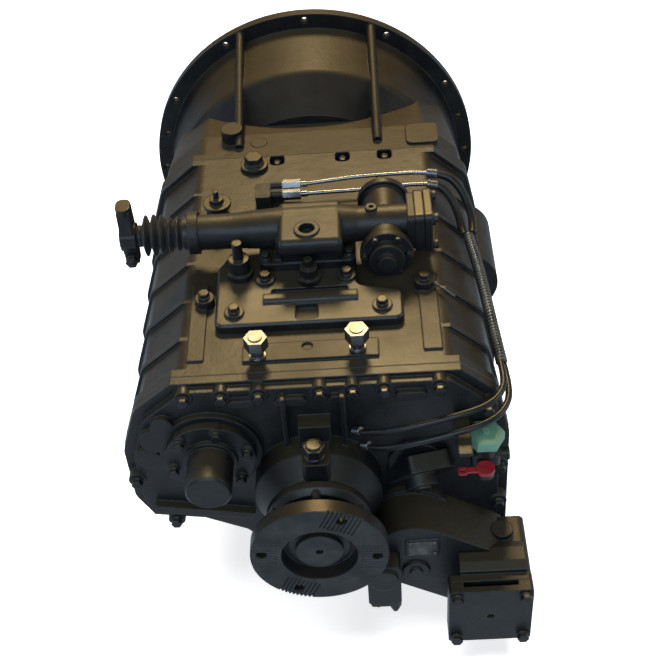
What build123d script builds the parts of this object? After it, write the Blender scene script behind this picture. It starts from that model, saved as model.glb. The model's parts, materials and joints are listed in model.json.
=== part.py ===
from build123d import *
import math
import os

# Heavy four-speed, two-range manual gearbox with clutch housing and rear power take-off.
# Millimetres. Origin: centre of the clutch-housing face on the main shaft line.
# +Y points forward to the engine, +Z up, +X to the right as seen from behind.
# "depth" is the distance behind the clutch-housing face, so depth 900 is y = -900.

os.makedirs("parts", exist_ok=True)

# ---- driving dimensions: castings ------------------------------------------------
BELL_R = 276.0            # flange radius of the clutch housing
BELL_FLANGE = 16.0        # flange thickness
BELL_BODY_R = 251.0       # body radius just behind the flange
BELL_PCD_R = 265.1        # radius of the bolt circle
BELL_HOLE_R = 5.5
DOWEL_R = 262.0           # radius on which the two dowel holes lie
BELL_END = 265.0          # depth of the joint with the main case
CASE_END = 740.0          # depth of the joint with the rear housing
REAR_WALL = 765.0         # depth of the rear housing's outer wall
WALL = 10.0               # casting wall
TOP_Z = 180.0             # machined top of the main case
RIM = 8.0                 # how far a joint flange stands out
RIM_T = 14.0              # joint flange thickness
BOSS_TOP = 768.0          # depth of the joint bolts' seats
CASE_OUTLINE = [          # (x, z) corners of the case seen from behind
    (-166, 180), (180, 180), (234, 132), (250, 60), (252, -120), (210, -214), (40, -224),
    (-40, -190), (-105, -112), (-165, -80), (-232, -68), (-250, -30), (-250, 60), (-226, 130),
]

# (x, z) places of the hexagon bolts of the rear joint, along the outline's rim
JOINT_BOLTS = [
    (-162, 166), (-114, 166), (-66, 166), (12, 166), (54, 166), (94, 166), (164, 166),
    (227, 122), (245, 10), (246, -66), (168, -214), (104, -215), (-72, -148), (-205, -72), (-246, 15),
]
POCKETS = (-48, 52, 116)   # x of the bolts sunk in the top at the front joint

# ---- driving dimensions: gear train ----------------------------------------------
MODULE = 4.0
COUNTER_ANGLE = -36.0     # direction of the countershaft from the main shaft
CENTRES = 152.0           # distance between main shaft and countershaft
CX = CENTRES * math.cos(math.radians(COUNTER_ANGLE))
CZ = CENTRES * math.sin(math.radians(COUNTER_ANGLE))
GEAR_W = 32.0
SYNC_34 = 262.0           # depth of the middle of each sliding sleeve
SYNC_12 = 403.0
SYNC_R = 515.0
FREE = 0.4                # radial running gap between turning pieces
RAIL_Z = 146.0
RAIL_R = 6.5
RAIL_PITCH = 16.0

# ---- driving dimensions: range group, outputs --------------------------------------
RANGE_MODULE = 2.5
SUN, PLANET, RING = 30, 24, 78
PLANETS = 3
FLANGE_FACE = 900.0       # depth of the output flange face
FLANGE_PCD_R = 75.0
FLANGE_HOLE_R = 7.0
FLANGE_TILT = 30.0        # direction of the hole rectangle's long side at rest
RANGE_X, RANGE_Z = -138.0, 70.0

# ---- driving dimensions: shift turret ----------------------------------------------
SHIFT_DEPTH = 515.0
SHIFT_Z = 234.0
TUBE_R = 24.0
SHAFT_R = 9.0
FINGER_TIP_Z = 158.0
COVER_Z = 194.0           # top of the shift cover plate

# ---- driving dimensions: power take-off ---------------------------------------------
PTO_X, PTO_Z = 225.0, -153.0
PTO_FACE = 840.0
PTO_BOX_END = 882.0
PTO_PLATE_END = 900.0
PTO_PLATE = 114.0


def behind(depth, x=0.0, z=0.0):
    """Upright plane facing rearward; its local axes are X and Z."""
    return Plane(origin=(x, -depth, z), x_dir=(1, 0, 0), z_dir=(0, -1, 0))


def facing_right(x, depth, z):
    """Upright plane facing +X; its local axes are Y and Z."""
    return Plane(origin=(x, -depth, z), x_dir=(0, 1, 0), z_dir=(1, 0, 0))


def level(z, x=0.0, depth=0.0):
    """Level plane facing up; its local axes are X and Y."""
    return Plane(origin=(x, -depth, z), x_dir=(1, 0, 0), z_dir=(0, 0, 1))


def disc(plane, radius, thickness, mode=Mode.ADD):
    """A round slab standing on a plane."""
    with BuildSketch(plane) as profile:
        Circle(radius)
    extrude(profile.sketch, amount=thickness, mode=mode)


def ring(plane, outer, inner, thickness):
    """A flat ring standing on a plane."""
    with BuildSketch(plane) as profile:
        Circle(outer)
        Circle(inner, mode=Mode.SUBTRACT)
    extrude(profile.sketch, amount=thickness)


def slab(plane, width, height, thickness, mode=Mode.ADD, rounding=0.0):
    """A rectangular slab standing on a plane."""
    with BuildSketch(plane) as profile:
        if rounding > 0:
            RectangleRounded(width, height, rounding)
        else:
            Rectangle(width, height)
    extrude(profile.sketch, amount=thickness, mode=mode)


def case_section(plane, grow, thickness, mode=Mode.ADD, rounding=22.0, taper=0.0):
    """The case outline, offset outward by grow, extruded from a plane."""
    with BuildSketch(plane) as profile:
        Polygon(*CASE_OUTLINE)
        fillet(vertices().filter_by(lambda v: v.Y > -60 or v.X > 100), rounding)
        if grow:
            offset(amount=grow, kind=Kind.INTERSECTION)
    extrude(profile.sketch, amount=thickness, taper=taper, mode=mode)


def case_top_cut(start, end):
    """Cuts a casting flush with the machined top between two depths."""
    slab(level(TOP_Z, 0, (start + end) / 2), 640, end - start, 60, mode=Mode.SUBTRACT)


def hex_bolt(plane, flats, height, shank_r=0.0, shank=0.0):
    """A hexagon head with a washer face on a plane, its shank going into the plane."""
    disc(plane, flats * 0.62, height * 0.25)
    with BuildSketch(plane.offset(height * 0.25)) as head:
        RegularPolygon(flats / 2, 6, major_radius=False)
    extrude(head.sketch, amount=height * 0.75)
    if shank > 0:
        disc(plane, shank_r, -shank)


def gear_outline(teeth, module, phase, inward=False):
    """Corner points of a straight-flanked gear; phase is the direction of one tooth in degrees."""
    pitch_r = teeth * module / 2
    side = -1 if inward else 1
    tip_r = pitch_r + side * 0.8 * module
    root_r = pitch_r - side * 1.1 * module
    slope = math.tan(math.radians(20))
    half = math.pi * module / 4 - 0.35
    tip_half = math.degrees((half - 0.8 * module * slope) / tip_r)
    root_half = math.degrees((half + 1.1 * module * slope) / root_r)
    points = []
    for tooth in range(teeth):
        centre = phase + 360 * tooth / teeth
        corners = [(root_r, -root_half), (tip_r, -tip_half), (tip_r, tip_half), (root_r, root_half)]
        for radius, turn in corners:
            angle = math.radians(centre + turn)
            points.append((radius * math.cos(angle), radius * math.sin(angle)))
    return points


def outside_mesh(direction, phase_a, teeth_a, teeth_b):
    """Phase of gear b, which lies in this direction from gear a and meshes with it."""
    place = (direction - phase_a) * teeth_a / 360
    return direction + 180 - 360 / teeth_b * (0.5 - place)


def gear_blank(plane, teeth, width, phase, module=MODULE):
    """An outside gear standing on a plane."""
    with BuildSketch(plane) as profile:
        Polygon(*gear_outline(teeth, module, phase))
    extrude(profile.sketch, amount=width)


# ---- places worked out from the driving dimensions -------------------------------
TO_MAIN = COUNTER_ANGLE + 180
SUN_FACE, GEAR_DEPTH = 704.0, 30.0
ORBIT = (SUN + PLANET) * RANGE_MODULE / 2
RING_PHASE = 0.0


def planet_phase(direction):
    """Phase of a planet in this direction so that it meshes with the ring gear."""
    place = (direction - RING_PHASE) * RING / 360 + 0.5
    return direction - 360 / PLANET * place


SUN_PHASE = outside_mesh(270, planet_phase(90), PLANET, SUN)

PAIRS = {              # gear on the shaft line: (its teeth, countershaft teeth, depth of its front face)
    "input": (30, 46, 199),
    "third": (36, 40, 293),
    "second": (46, 30, 340),
    "first": (54, 22, 434),
}
REVERSE_TEETH, IDLER_TEETH, REVERSE_DRIVER = 50, 20, 18
REVERSE_FACE = 546.0
DOG_R = 44.0
HUB_R = 45.4
IDLER_FROM_MAIN = (REVERSE_TEETH + IDLER_TEETH) * MODULE / 2
IDLER_FROM_COUNTER = (REVERSE_DRIVER + IDLER_TEETH) * MODULE / 2
IDLER_TURN = math.degrees(math.acos(
    (IDLER_FROM_MAIN**2 + CENTRES**2 - IDLER_FROM_COUNTER**2) / (2 * IDLER_FROM_MAIN * CENTRES)))
IDLER_ANGLE = COUNTER_ANGLE - IDLER_TURN
IX = IDLER_FROM_MAIN * math.cos(math.radians(IDLER_ANGLE))
IZ = IDLER_FROM_MAIN * math.sin(math.radians(IDLER_ANGLE))
COUNTER_TO_IDLER = math.degrees(math.atan2(IZ - CZ, IX - CX))
IDLER_PHASE = outside_mesh(COUNTER_TO_IDLER, 0, REVERSE_DRIVER, IDLER_TEETH)
REVERSE_PHASE = outside_mesh(IDLER_ANGLE + 180, IDLER_PHASE, IDLER_TEETH, REVERSE_TEETH)

# ==== clutch housing ====================================================================
with BuildPart() as bell_housing:
    with BuildSketch(Plane.XY):
        with BuildLine():
            Polyline((0, 0), (BELL_R, 0), (BELL_R, -BELL_FLANGE), (BELL_BODY_R, -BELL_FLANGE),
                     (241, -128), (192, -180), (0, -180), close=True)
        make_face()
        fillet(vertices().filter_by(lambda v: -179 < v.Y < -100), 18)
    revolve(axis=Axis.Y)
    case_section(behind(205), 0, BELL_END - 205)
    case_section(behind(205), 0, -150, taper=8)
    case_section(behind(BELL_END - RIM_T), RIM, RIM_T)
    case_top_cut(190, BELL_END)
    # round bulge low on the right side
    with BuildSketch(level(-100, 236)):
        Polygon((0, -95), (42, -95), (64, -122), (64, -BELL_END), (0, -BELL_END))
    revolve(axis=Axis((236, 0, -100), (0, 1, 0)))
    # two long ribs over the top
    for rib_x in (-107, 107):
        with BuildSketch(facing_right(rib_x - 7, 0, 0)):
            Polygon((-14, 246), (-242, 184), (-242, 174), (-14, 200))
        extrude(amount=14)
        with BuildLine():
            rib_line = Line((rib_x, -12, 246), (rib_x, -242, 182))
        with BuildSketch(Plane(origin=rib_line @ 0, z_dir=rib_line % 0)):
            Circle(7)
        sweep(path=rib_line)
    # lug beside the left rib and two bosses on the right shoulder
    disc(level(170, -118, 214), 17, 30)
    disc(level(168, -77, 228), 13, 13)
    slab(level(170, 176, 232), 50, 52, 14, rounding=10)
    # clutch space
    with BuildSketch(Plane.XY):
        with BuildLine():
            Polyline((0, 0), (234, 0), (229, -124), (178, -160), (0, -160), close=True)
        make_face()
    revolve(axis=Axis.Y, mode=Mode.SUBTRACT)
    # gear space behind the front wall
    case_section(behind(176), -WALL, BELL_END - 176, mode=Mode.SUBTRACT, rounding=18)
    disc(behind(120, 236, -100), 54, BELL_END - 120 - 12, mode=Mode.SUBTRACT)
    # boss that guides the front ends of the shift rails
    slab(behind(176, 0, RAIL_Z), 60, 26, 22)
    with Locations(behind(198, 0, RAIL_Z)):
        with Locations((-RAIL_PITCH, 0), (0, 0), (RAIL_PITCH, 0)):
            Hole(RAIL_R + FREE, depth=34)
    # bearing seats
    disc(behind(150), 60, 40, mode=Mode.SUBTRACT)
    disc(behind(164, CX, CZ), 46, 20, mode=Mode.SUBTRACT)
    # boss and bore for the release shaft, at the bottom
    disc(level(-250, -88, 96), 20, 50)
    disc(level(-262, -88, 96), 12 + FREE, 90, mode=Mode.SUBTRACT)
    # flange holes, each with a spot face behind it
    for hole in range(12):
        angle = math.radians(30 * hole)
        hole_x, hole_z = BELL_PCD_R * math.cos(angle), BELL_PCD_R * math.sin(angle)
        disc(behind(-1, hole_x, hole_z), BELL_HOLE_R, BELL_FLANGE + 2, mode=Mode.SUBTRACT)
        disc(behind(BELL_FLANGE, hole_x, hole_z), 10.5, 12, mode=Mode.SUBTRACT)
    for angle in (math.radians(15), math.radians(165)):
        hole_x, hole_z = DOWEL_R * math.cos(angle), DOWEL_R * math.sin(angle)
        disc(behind(-1, hole_x, hole_z), 5, BELL_FLANGE + 2, mode=Mode.SUBTRACT)
bell_housing.part.label = "bell_housing"
export_step(bell_housing.part, "parts/bell_housing.step")


# ==== main case =========================================================================
with BuildPart() as main_case:
    case_section(behind(BELL_END), 0, CASE_END - BELL_END)
    case_section(behind(BELL_END), RIM, RIM_T)
    case_section(behind(CASE_END - RIM_T), RIM, RIM_T)
    # stiffening ribs round the sides and under the top edge
    for depth in (350, 430, 510, 590, 665):
        case_section(behind(depth), 4, 8)
    case_top_cut(BELL_END, CASE_END)
    case_section(behind(BELL_END + WALL), -WALL, CASE_END - BELL_END, mode=Mode.SUBTRACT, rounding=18)
    case_section(behind(BELL_END - 1), -WALL, WALL + 2, mode=Mode.SUBTRACT, rounding=18)
    # inner wall that carries the rear ends of the shafts
    case_section(behind(610), -WALL, 16, rounding=18)
    disc(behind(600), 55, 42, mode=Mode.SUBTRACT)
    disc(behind(600, CX, CZ), 42, 42, mode=Mode.SUBTRACT)
    for rail_x in (-RAIL_PITCH, 0, RAIL_PITCH):
        disc(behind(600, rail_x, RAIL_Z), RAIL_R + FREE, 40, mode=Mode.SUBTRACT)
    # bearing seat rings on the inner wall
    ring(behind(598), 66, 55, 12)
    # pin of the reverse idler, with its head
    disc(behind(530, IX, IZ), 14, 84)
    disc(behind(526, IX, IZ), 20, 8)
    # plate that holds the ring gear, with a hole for the range rod
    case_section(behind(714), -WALL, 10, rounding=18)
    disc(behind(700), 110, 40, mode=Mode.SUBTRACT)
    disc(behind(700, RANGE_X, RANGE_Z), 8 + FREE, 30, mode=Mode.SUBTRACT)
    disc(behind(700, CX, CZ), 30, 30, mode=Mode.SUBTRACT)
    # opening under the shift turret
    slab(level(TOP_Z - 20, 0, SHIFT_DEPTH), 66, 96, 40, mode=Mode.SUBTRACT)
    # machined pad near the rear joint, with a round recess
    slab(level(TOP_Z - 2, 2, 706), 176, 32, 6)
    disc(level(TOP_Z + 1, -2, 699), 7, 5, mode=Mode.SUBTRACT)
    # raised border between pad and shift cover, and side strips of the machined top
    slab(level(TOP_Z - 2, -148, 640), 22, 150, 5)
    slab(level(TOP_Z - 2, 160, 640), 24, 150, 5)
    # pockets for the bolts of the front joint
    for pocket_x in POCKETS:
        slab(level(TOP_Z - 14, pocket_x, 277), 22, 26, 20, mode=Mode.SUBTRACT, rounding=8)
    # lugs for turret and valve bolts
    for lug_x, lug_depth in ((-140, 604), (160, 468), (156, 590), (-128, 462)):
        disc(level(TOP_Z - 4, lug_x, lug_depth), 13, 18)
    for bolt_x, bolt_z in JOINT_BOLTS:
        disc(behind(CASE_END - 20, bolt_x, bolt_z), 4.3, 21, mode=Mode.SUBTRACT)
main_case.part.label = "main_case"
export_step(main_case.part, "parts/main_case.step")

# ==== rear housing ======================================================================
with BuildPart() as rear_housing:
    case_section(behind(CASE_END), RIM, RIM_T)
    case_section(behind(CASE_END), -6, REAR_WALL - CASE_END)
    case_top_cut(CASE_END, REAR_WALL)
    # neck round the output shaft: cylinder, then cone
    with BuildSketch(Plane.XY):
        Polygon((0, -750), (86, -750), (86, -798), (66, -826), (66, -832), (0, -832))
    revolve(axis=Axis.Y)
    # flat pad for the speed sensor on top of the neck, between two upright ribs
    slab(behind(750, 2, 104), 42, 40, 38)
    slab(level(56, 2, 806), 36, 46, 40, rounding=8)
    for rib_x in (-36, 40):
        slab(behind(REAR_WALL - 1, rib_x, 118), 6, 96, 14)
    # rounded boss round each joint bolt
    for bolt_x, bolt_z in JOINT_BOLTS:
        disc(behind(CASE_END, bolt_x, bolt_z), 12, BOSS_TOP - CASE_END)
    # bluish rounded bars of the casting between the upper bolts
    for bar_x, bar_w in ((-88, 34), (-26, 40), (34, 22), (128, 40)):
        slab(behind(REAR_WALL - 1, bar_x, 156), bar_w, 13, 9, rounding=6)
    # seat of the range cylinder, upper left
    disc(behind(CASE_END, RANGE_X, RANGE_Z), 68, 34)
    # wavy lug along the upper left edge
    for lug_x, lug_z, lug_r in ((-208, 96, 20), (-222, 62, 17), (-196, 122, 15)):
        disc(behind(CASE_END, lug_x, lug_z), lug_r, 34)
    # slanting rib in the lower left corner
    with BuildSketch(behind(REAR_WALL - 1)):
        Polygon((-228, -44), (-96, -66), (-92, -56), (-228, -30))
    extrude(amount=14)
    # hollow: planet-gear space, neck and countershaft end
    case_section(behind(CASE_END - 1), -16, 16, mode=Mode.SUBTRACT, rounding=14)
    disc(behind(CASE_END), 76, 52, mode=Mode.SUBTRACT)
    disc(behind(CASE_END), 53, 110, mode=Mode.SUBTRACT)
    disc(behind(CASE_END, CX, CZ), 30, 40, mode=Mode.SUBTRACT)
    disc(behind(CASE_END, RANGE_X, RANGE_Z), 8 + FREE, 60, mode=Mode.SUBTRACT)
    disc(level(50, 1, 815), 9.4, 60, mode=Mode.SUBTRACT)
    for bolt_x, bolt_z in JOINT_BOLTS:
        disc(behind(CASE_END - 1, bolt_x, bolt_z), 4.3, 32, mode=Mode.SUBTRACT)
rear_housing.part.label = "rear_housing"
export_step(rear_housing.part, "parts/rear_housing.step")

# ==== output bearing cover ==============================================================
with BuildPart() as output_bearing_cover:
    with BuildSketch(Plane.XY):
        Polygon((51, -826), (52.5, -826), (52.5, -832), (70, -832), (70, -842), (63, -850), (51, -850))
    revolve(axis=Axis.Y)
    for place in range(6):
        angle = math.radians(30 + 60 * place)
        disc(behind(832, 61 * math.cos(angle), 61 * math.sin(angle)), 7, 18)
output_bearing_cover.part.label = "output_bearing_cover"
export_step(output_bearing_cover.part, "parts/output_bearing_cover.step")

# ==== shift cover on top of the case ====================================================
with BuildPart() as top_cover:
    with BuildSketch(level(TOP_Z)):
        Polygon((-124, -664), (126, -664), (126, -608), (66, -592), (66, -470), (-84, -470), (-124, -545))
        fillet(vertices(), 12)
    extrude(amount=COVER_Z - TOP_Z)
    chamfer(faces().sort_by(Axis.Z)[-1].edges(), 3)
    # rounded cross ridge with a groove in front of it
    with BuildSketch(facing_right(-60, 616, COVER_Z - 2)):
        RectangleRounded(20, 16, 7)
    extrude(amount=126)
    slab(level(COVER_Z - 5, 2, 601), 104, 12, 10, mode=Mode.SUBTRACT, rounding=5)
    # square recess behind the middle plug
    slab(level(COVER_Z - 8, -2, 643), 30, 30, 10, mode=Mode.SUBTRACT, rounding=5)
    # bosses for the corner bolts
    for boss_x, boss_depth in ((-58, 576), (52, 576), (-98, 640), (98, 640)):
        disc(level(COVER_Z - 3, boss_x, boss_depth), 13, 7)
    # windows for the shift finger and the two detent plugs
    slab(level(TOP_Z - 1, 0, SHIFT_DEPTH), 58, 80, 30, mode=Mode.SUBTRACT)
    for plug_x, plug_depth in ((-92, 562), (2, 580)):
        disc(level(TOP_Z + 4, plug_x, plug_depth), 11, 30, mode=Mode.SUBTRACT)
top_cover.part.label = "top_cover"
export_step(top_cover.part, "parts/top_cover.step")

# ==== shift turret: cross tube with a central block on a pedestal =======================
TUBE_LEFT, TUBE_RIGHT = -160.0, 148.0
TUBE_BORE = 17.0
BLOCK_LEFT, BLOCK_RIGHT = -36.0, 50.0
BLOCK_TOP = 28.0          # above the shaft line
BLOCK_REAR = 69.0         # how far the crown of the block reaches behind the shaft
FOOT = COVER_Z - SHIFT_Z
# central block: rounded crown that reaches over the plug behind it
with BuildPart() as turret_block:
    with BuildSketch(facing_right(BLOCK_LEFT, SHIFT_DEPTH, SHIFT_Z)):
        Polygon((24, FOOT + 6), (24, BLOCK_TOP), (-BLOCK_REAR, BLOCK_TOP), (-BLOCK_REAR, 6), (-44, -6),
                (-40, FOOT + 6))
        fillet(vertices().filter_by(lambda v: v.Y > -20), 10)
    extrude(amount=BLOCK_RIGHT - BLOCK_LEFT)
    fillet(faces().filter_by(Axis.X).edges().filter_by(lambda e: e.center().Z > SHIFT_Z - 20), 7)

with BuildPart() as shift_turret:
    disc(facing_right(TUBE_LEFT, SHIFT_DEPTH, SHIFT_Z), TUBE_R, TUBE_RIGHT - TUBE_LEFT)
    # collar at the left end, square flange at the right end
    disc(facing_right(TUBE_LEFT, SHIFT_DEPTH, SHIFT_Z), 29, 14)
    slab(facing_right(TUBE_RIGHT - 10, SHIFT_DEPTH, SHIFT_Z), 62, 56, 10, rounding=8)
    add(turret_block.part)
    # the tube flares into the block on both sides
    with BuildSketch(Plane(origin=(0, -SHIFT_DEPTH, SHIFT_Z), x_dir=(1, 0, 0), z_dir=(0, -1, 0))):
        Polygon((-112, 0), (-112, TUBE_R - 1), (BLOCK_LEFT + 8, 29), (BLOCK_RIGHT - 8, 29), (78, TUBE_R - 1),
                (78, 0))
    revolve(axis=Axis((0, -SHIFT_DEPTH, SHIFT_Z), (1, 0, 0)))
    with BuildSketch(behind(SHIFT_DEPTH - 26, 0, SHIFT_Z)):
        Polygon((-46, FOOT), (46, FOOT), (40, 4), (-40, 4))
    extrude(amount=60)
    # pedestal flange on the shift cover
    slab(level(COVER_Z, 0, SHIFT_DEPTH + 1), 132, 84, 12, rounding=10)
    for foot_x, foot_depth in ((-57, 548), (57, 548), (-57, 484), (57, 484)):
        disc(level(COVER_Z, foot_x, foot_depth), 8, 16)
    # round boss with a threaded bore on top
    disc(level(SHIFT_Z + 26, 3, SHIFT_DEPTH + 43), 17, 5)
    disc(level(SHIFT_Z + 20, 3, SHIFT_DEPTH + 43), 10.5, 20, mode=Mode.SUBTRACT)
    # small vent boss on the right of the tube
    disc(level(SHIFT_Z + 18, 90, SHIFT_DEPTH), 8, 10)
    disc(level(SHIFT_Z + 20, 90, SHIFT_DEPTH), 3, 12, mode=Mode.SUBTRACT)
    # bore for the shaft, chamber for the finger
    disc(facing_right(TUBE_LEFT + 24, SHIFT_DEPTH, SHIFT_Z), TUBE_BORE, 260, mode=Mode.SUBTRACT)
    disc(facing_right(TUBE_LEFT - 1, SHIFT_DEPTH, SHIFT_Z), SHAFT_R + FREE, 320, mode=Mode.SUBTRACT)
    slab(level(COVER_Z - 1, 0, SHIFT_DEPTH), 58, 46, SHIFT_Z - COVER_Z + 18, mode=Mode.SUBTRACT)
shift_turret.part.label = "shift_turret"
export_step(shift_turret.part, "parts/shift_turret.step")

with BuildPart() as turret_end_cover:
    with BuildSketch(facing_right(TUBE_RIGHT, SHIFT_DEPTH, SHIFT_Z)):
        RectangleRounded(66, 60, 8)
    extrude(amount=12)
    with BuildSketch(facing_right(TUBE_RIGHT + 13, SHIFT_DEPTH, SHIFT_Z)):
        RectangleRounded(68, 62, 8)
    extrude(amount=10)
    slab(facing_right(TUBE_RIGHT + 11, SHIFT_DEPTH, SHIFT_Z), 58, 52, 3)
    disc(facing_right(TUBE_RIGHT, SHIFT_DEPTH, SHIFT_Z), 12, 12, mode=Mode.SUBTRACT)
turret_end_cover.part.label = "turret_end_cover"
export_step(turret_end_cover.part, "parts/turret_end_cover.step")

# ==== shift shaft, finger, lever and boot ===============================================
LEVER_X = -243.0
with BuildPart() as shift_shaft:
    disc(facing_right(LEVER_X - 8, SHIFT_DEPTH, SHIFT_Z), SHAFT_R, TUBE_RIGHT - LEVER_X - 12)
shift_shaft.part.label = "shift_shaft"
export_step(shift_shaft.part, "parts/shift_shaft.step")

FINGER_REACH = FINGER_TIP_Z - SHIFT_Z
with BuildPart() as shift_finger:
    disc(facing_right(-8, SHIFT_DEPTH, SHIFT_Z), 15, 16)
    with BuildSketch(facing_right(-5, SHIFT_DEPTH, SHIFT_Z)):
        Polygon((-13, 0), (13, 0), (5.5, FINGER_REACH + 12), (5.5, FINGER_REACH), (-5.5, FINGER_REACH),
                (-5.5, FINGER_REACH + 12))
    extrude(amount=10)
    disc(facing_right(-9, SHIFT_DEPTH, SHIFT_Z), SHAFT_R, 18, mode=Mode.SUBTRACT)
shift_finger.part.label = "shift_finger"
export_step(shift_finger.part, "parts/shift_finger.step")

with BuildPart() as shift_lever:
    with BuildSketch(facing_right(LEVER_X - 9, SHIFT_DEPTH, SHIFT_Z)):
        with BuildLine():
            Polyline((-12, 48), (-15, 8), (-17, -6), (-12, -26), (-8, -40), (8, -40), (12, -26),
                     (17, -6), (15, 8), (12, 48), close=True)
        make_face()
    extrude(amount=18)
    disc(facing_right(LEVER_X - 11, SHIFT_DEPTH, SHIFT_Z), 19, 22)
    slab(level(SHIFT_Z + 42, LEVER_X, SHIFT_DEPTH), 20, 27, 11, rounding=9)
    disc(facing_right(LEVER_X - 12, SHIFT_DEPTH, SHIFT_Z), SHAFT_R, 24, mode=Mode.SUBTRACT)
    slab(level(SHIFT_Z - 41, LEVER_X, SHIFT_DEPTH), 40, 3, 34, mode=Mode.SUBTRACT)
    # clamp bolt across the slit
    disc(behind(SHIFT_DEPTH - 22, LEVER_X, SHIFT_Z - 31), 4.5, 44)
    hex_bolt(behind(SHIFT_DEPTH + 10, LEVER_X, SHIFT_Z - 31), 15, 10)
shift_lever.part.label = "shift_lever"
export_step(shift_lever.part, "parts/shift_lever.step")

BOOT_FOLDS = 5
BOOT_START, BOOT_END = LEVER_X + 11, TUBE_LEFT
with BuildPart() as shift_boot:
    with BuildSketch(Plane(origin=(0, -SHIFT_DEPTH, SHIFT_Z), x_dir=(1, 0, 0), z_dir=(0, -1, 0))):
        with BuildLine():
            fold = (BOOT_END - BOOT_START) / BOOT_FOLDS
            crest = [(BOOT_START, 14)]
            for turn in range(BOOT_FOLDS):
                left = BOOT_START + fold * turn
                swell = 24 + 6 * (turn / BOOT_FOLDS)
                crest += [(left + fold * 0.35, swell), (left + fold * 0.6, swell), (left + fold, swell - 8)]
            Polyline((BOOT_START, SHAFT_R + 1.5), *crest, (BOOT_END, SHAFT_R + 1.5), close=True)
        make_face()
    revolve(axis=Axis((0, -SHIFT_DEPTH, SHIFT_Z), (1, 0, 0)))
shift_boot.part.label = "shift_boot"
export_step(shift_boot.part, "parts/shift_boot.step")

# ==== round valve cylinder lying under the right arm of the tube ========================
VALVE_X, VALVE_Z = 108.0, 218.0
with BuildPart() as range_valve:
    disc(behind(440, VALVE_X, VALVE_Z), 30, 126)
    disc(behind(440, VALVE_X, VALVE_Z), 36, 10)
    disc(behind(556, VALVE_X, VALVE_Z), 36, 10)
    disc(behind(566, VALVE_X, VALVE_Z), 24, 12)
    disc(behind(578, VALVE_X, VALVE_Z), 12, 9)
    slab(behind(450, VALVE_X, TOP_Z + 5), 40, 10, 100)
    disc(facing_right(0, SHIFT_DEPTH, SHIFT_Z), TUBE_R + 0.5, 300, mode=Mode.SUBTRACT)
range_valve.part.label = "range_valve"
export_step(range_valve.part, "parts/range_valve.step")

# ==== detent plugs, hexagon unions, filler plug, breather ===============================
with BuildPart() as detent_plugs:
    for plug_x, plug_depth, radius, shoulder, top in ((-92, 562, 14, 224, 250), (2, 580, 12, 218, 231)):
        disc(level(TOP_Z + 4, plug_x, plug_depth), 10.5, 20)
        disc(level(COVER_Z, plug_x, plug_depth), radius + 4, 9)
        disc(level(COVER_Z + 8, plug_x, plug_depth), radius, shoulder - COVER_Z - 8)
        disc(level(shoulder - 1, plug_x, plug_depth), radius * 0.5, top - shoulder + 1)
detent_plugs.part.label = "detent_plugs"
export_step(detent_plugs.part, "parts/detent_plugs.step")

with BuildPart() as hex_unions:
    for union_x, union_depth in ((-66, 716), (63, 710)):
        disc(level(TOP_Z + 4, union_x, union_depth), 11, 5)
        disc(level(TOP_Z + 9, union_x, union_depth), 8.5, 8)
        disc(level(TOP_Z + 17, union_x, union_depth), 10.5, 5)
        with BuildSketch(level(TOP_Z + 22, union_x, union_depth)) as nut:
            RegularPolygon(13.5, 6, major_radius=False)
        extrude(nut.sketch, amount=17)
        disc(level(TOP_Z + 39, union_x, union_depth), 9, 1.5)
hex_unions.part.label = "hex_unions"
export_step(hex_unions.part, "parts/hex_unions.step")

with BuildPart() as filler_plug:
    disc(level(TOP_Z, -82, 292), 21, 7)
    hex_bolt(level(TOP_Z + 7, -82, 292), 24, 13)
filler_plug.part.label = "filler_plug"
export_step(filler_plug.part, "parts/filler_plug.step")

with BuildPart() as breather:
    disc(level(TOP_Z + 14, -128, 430), 17, 9)
    disc(level(TOP_Z + 23, -128, 430), 11, 8)
    disc(level(TOP_Z + 31, -128, 430), 17, 5)
    disc(level(TOP_Z + 36, -128, 430), 20, 5)
    disc(level(TOP_Z + 41, -128, 430), 10, 7)
    disc(level(TOP_Z + 48, -128, 430), 4, 12)
breather.part.label = "breather"
export_step(breather.part, "parts/breather.step")

# ==== air lines, hoses and conduit ======================================================
LINE_R = 3.0
HOSE_R = 4.5
CONDUIT_R = 8.0


def tube(points, radius, bends):
    """A round tube along straight runs joined by tangent arcs."""
    with BuildLine() as route:
        if len(points) > 2:
            FilletPolyline(*points, radius=bends)
        else:
            Line(*points)
    start = route.line @ 0
    with BuildSketch(Plane(origin=start, z_dir=route.line % 0)) as section:
        Circle(radius)
    sweep(section.sketch, path=route.line)


with BuildPart() as air_lines:
    # elbow block and the two union nuts
    slab(level(TOP_Z, -65, 386), 22, 34, 24, rounding=3)
    slab(level(TOP_Z + 4, -50, 380), 30, 16, 18, rounding=3)
    for line_depth, line_z in ((374, 203), (388, 196)):
        with BuildSketch(facing_right(-36, line_depth, line_z)) as nut:
            RegularPolygon(7, 6, major_radius=False)
        extrude(nut.sketch, amount=26)
        disc(facing_right(-54, line_depth, line_z), 5, 19)
        disc(facing_right(-10, line_depth, line_z), 4.6, 10)
    tube([(-2, -374, 203), (70, -368, 206), (150, -370, 209), (176, -373, 209)], LINE_R, [300, 60])
    tube([(-2, -388, 196), (80, -389, 198), (150, -388, 201), (176, -390, 202)], LINE_R, [300, 60])
air_lines.part.label = "air_lines"
export_step(air_lines.part, "parts/air_lines.step")

# ==== corrugated conduit and the two hoses that leave it ================================
CONDUIT_TOP = (228, -456, 157)
CONDUIT_END = (250, -706, 140)
with BuildPart() as corrugated_conduit:
    tube([CONDUIT_TOP, (240, -580, 152), CONDUIT_END], CONDUIT_R, [700])
    # cuff that takes the two hoses
    slab(behind(448, 229, 158.5), 34, 18, 10, rounding=8)
corrugated_conduit.part.label = "corrugated_conduit"
export_step(corrugated_conduit.part, "parts/corrugated_conduit.step")

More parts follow.
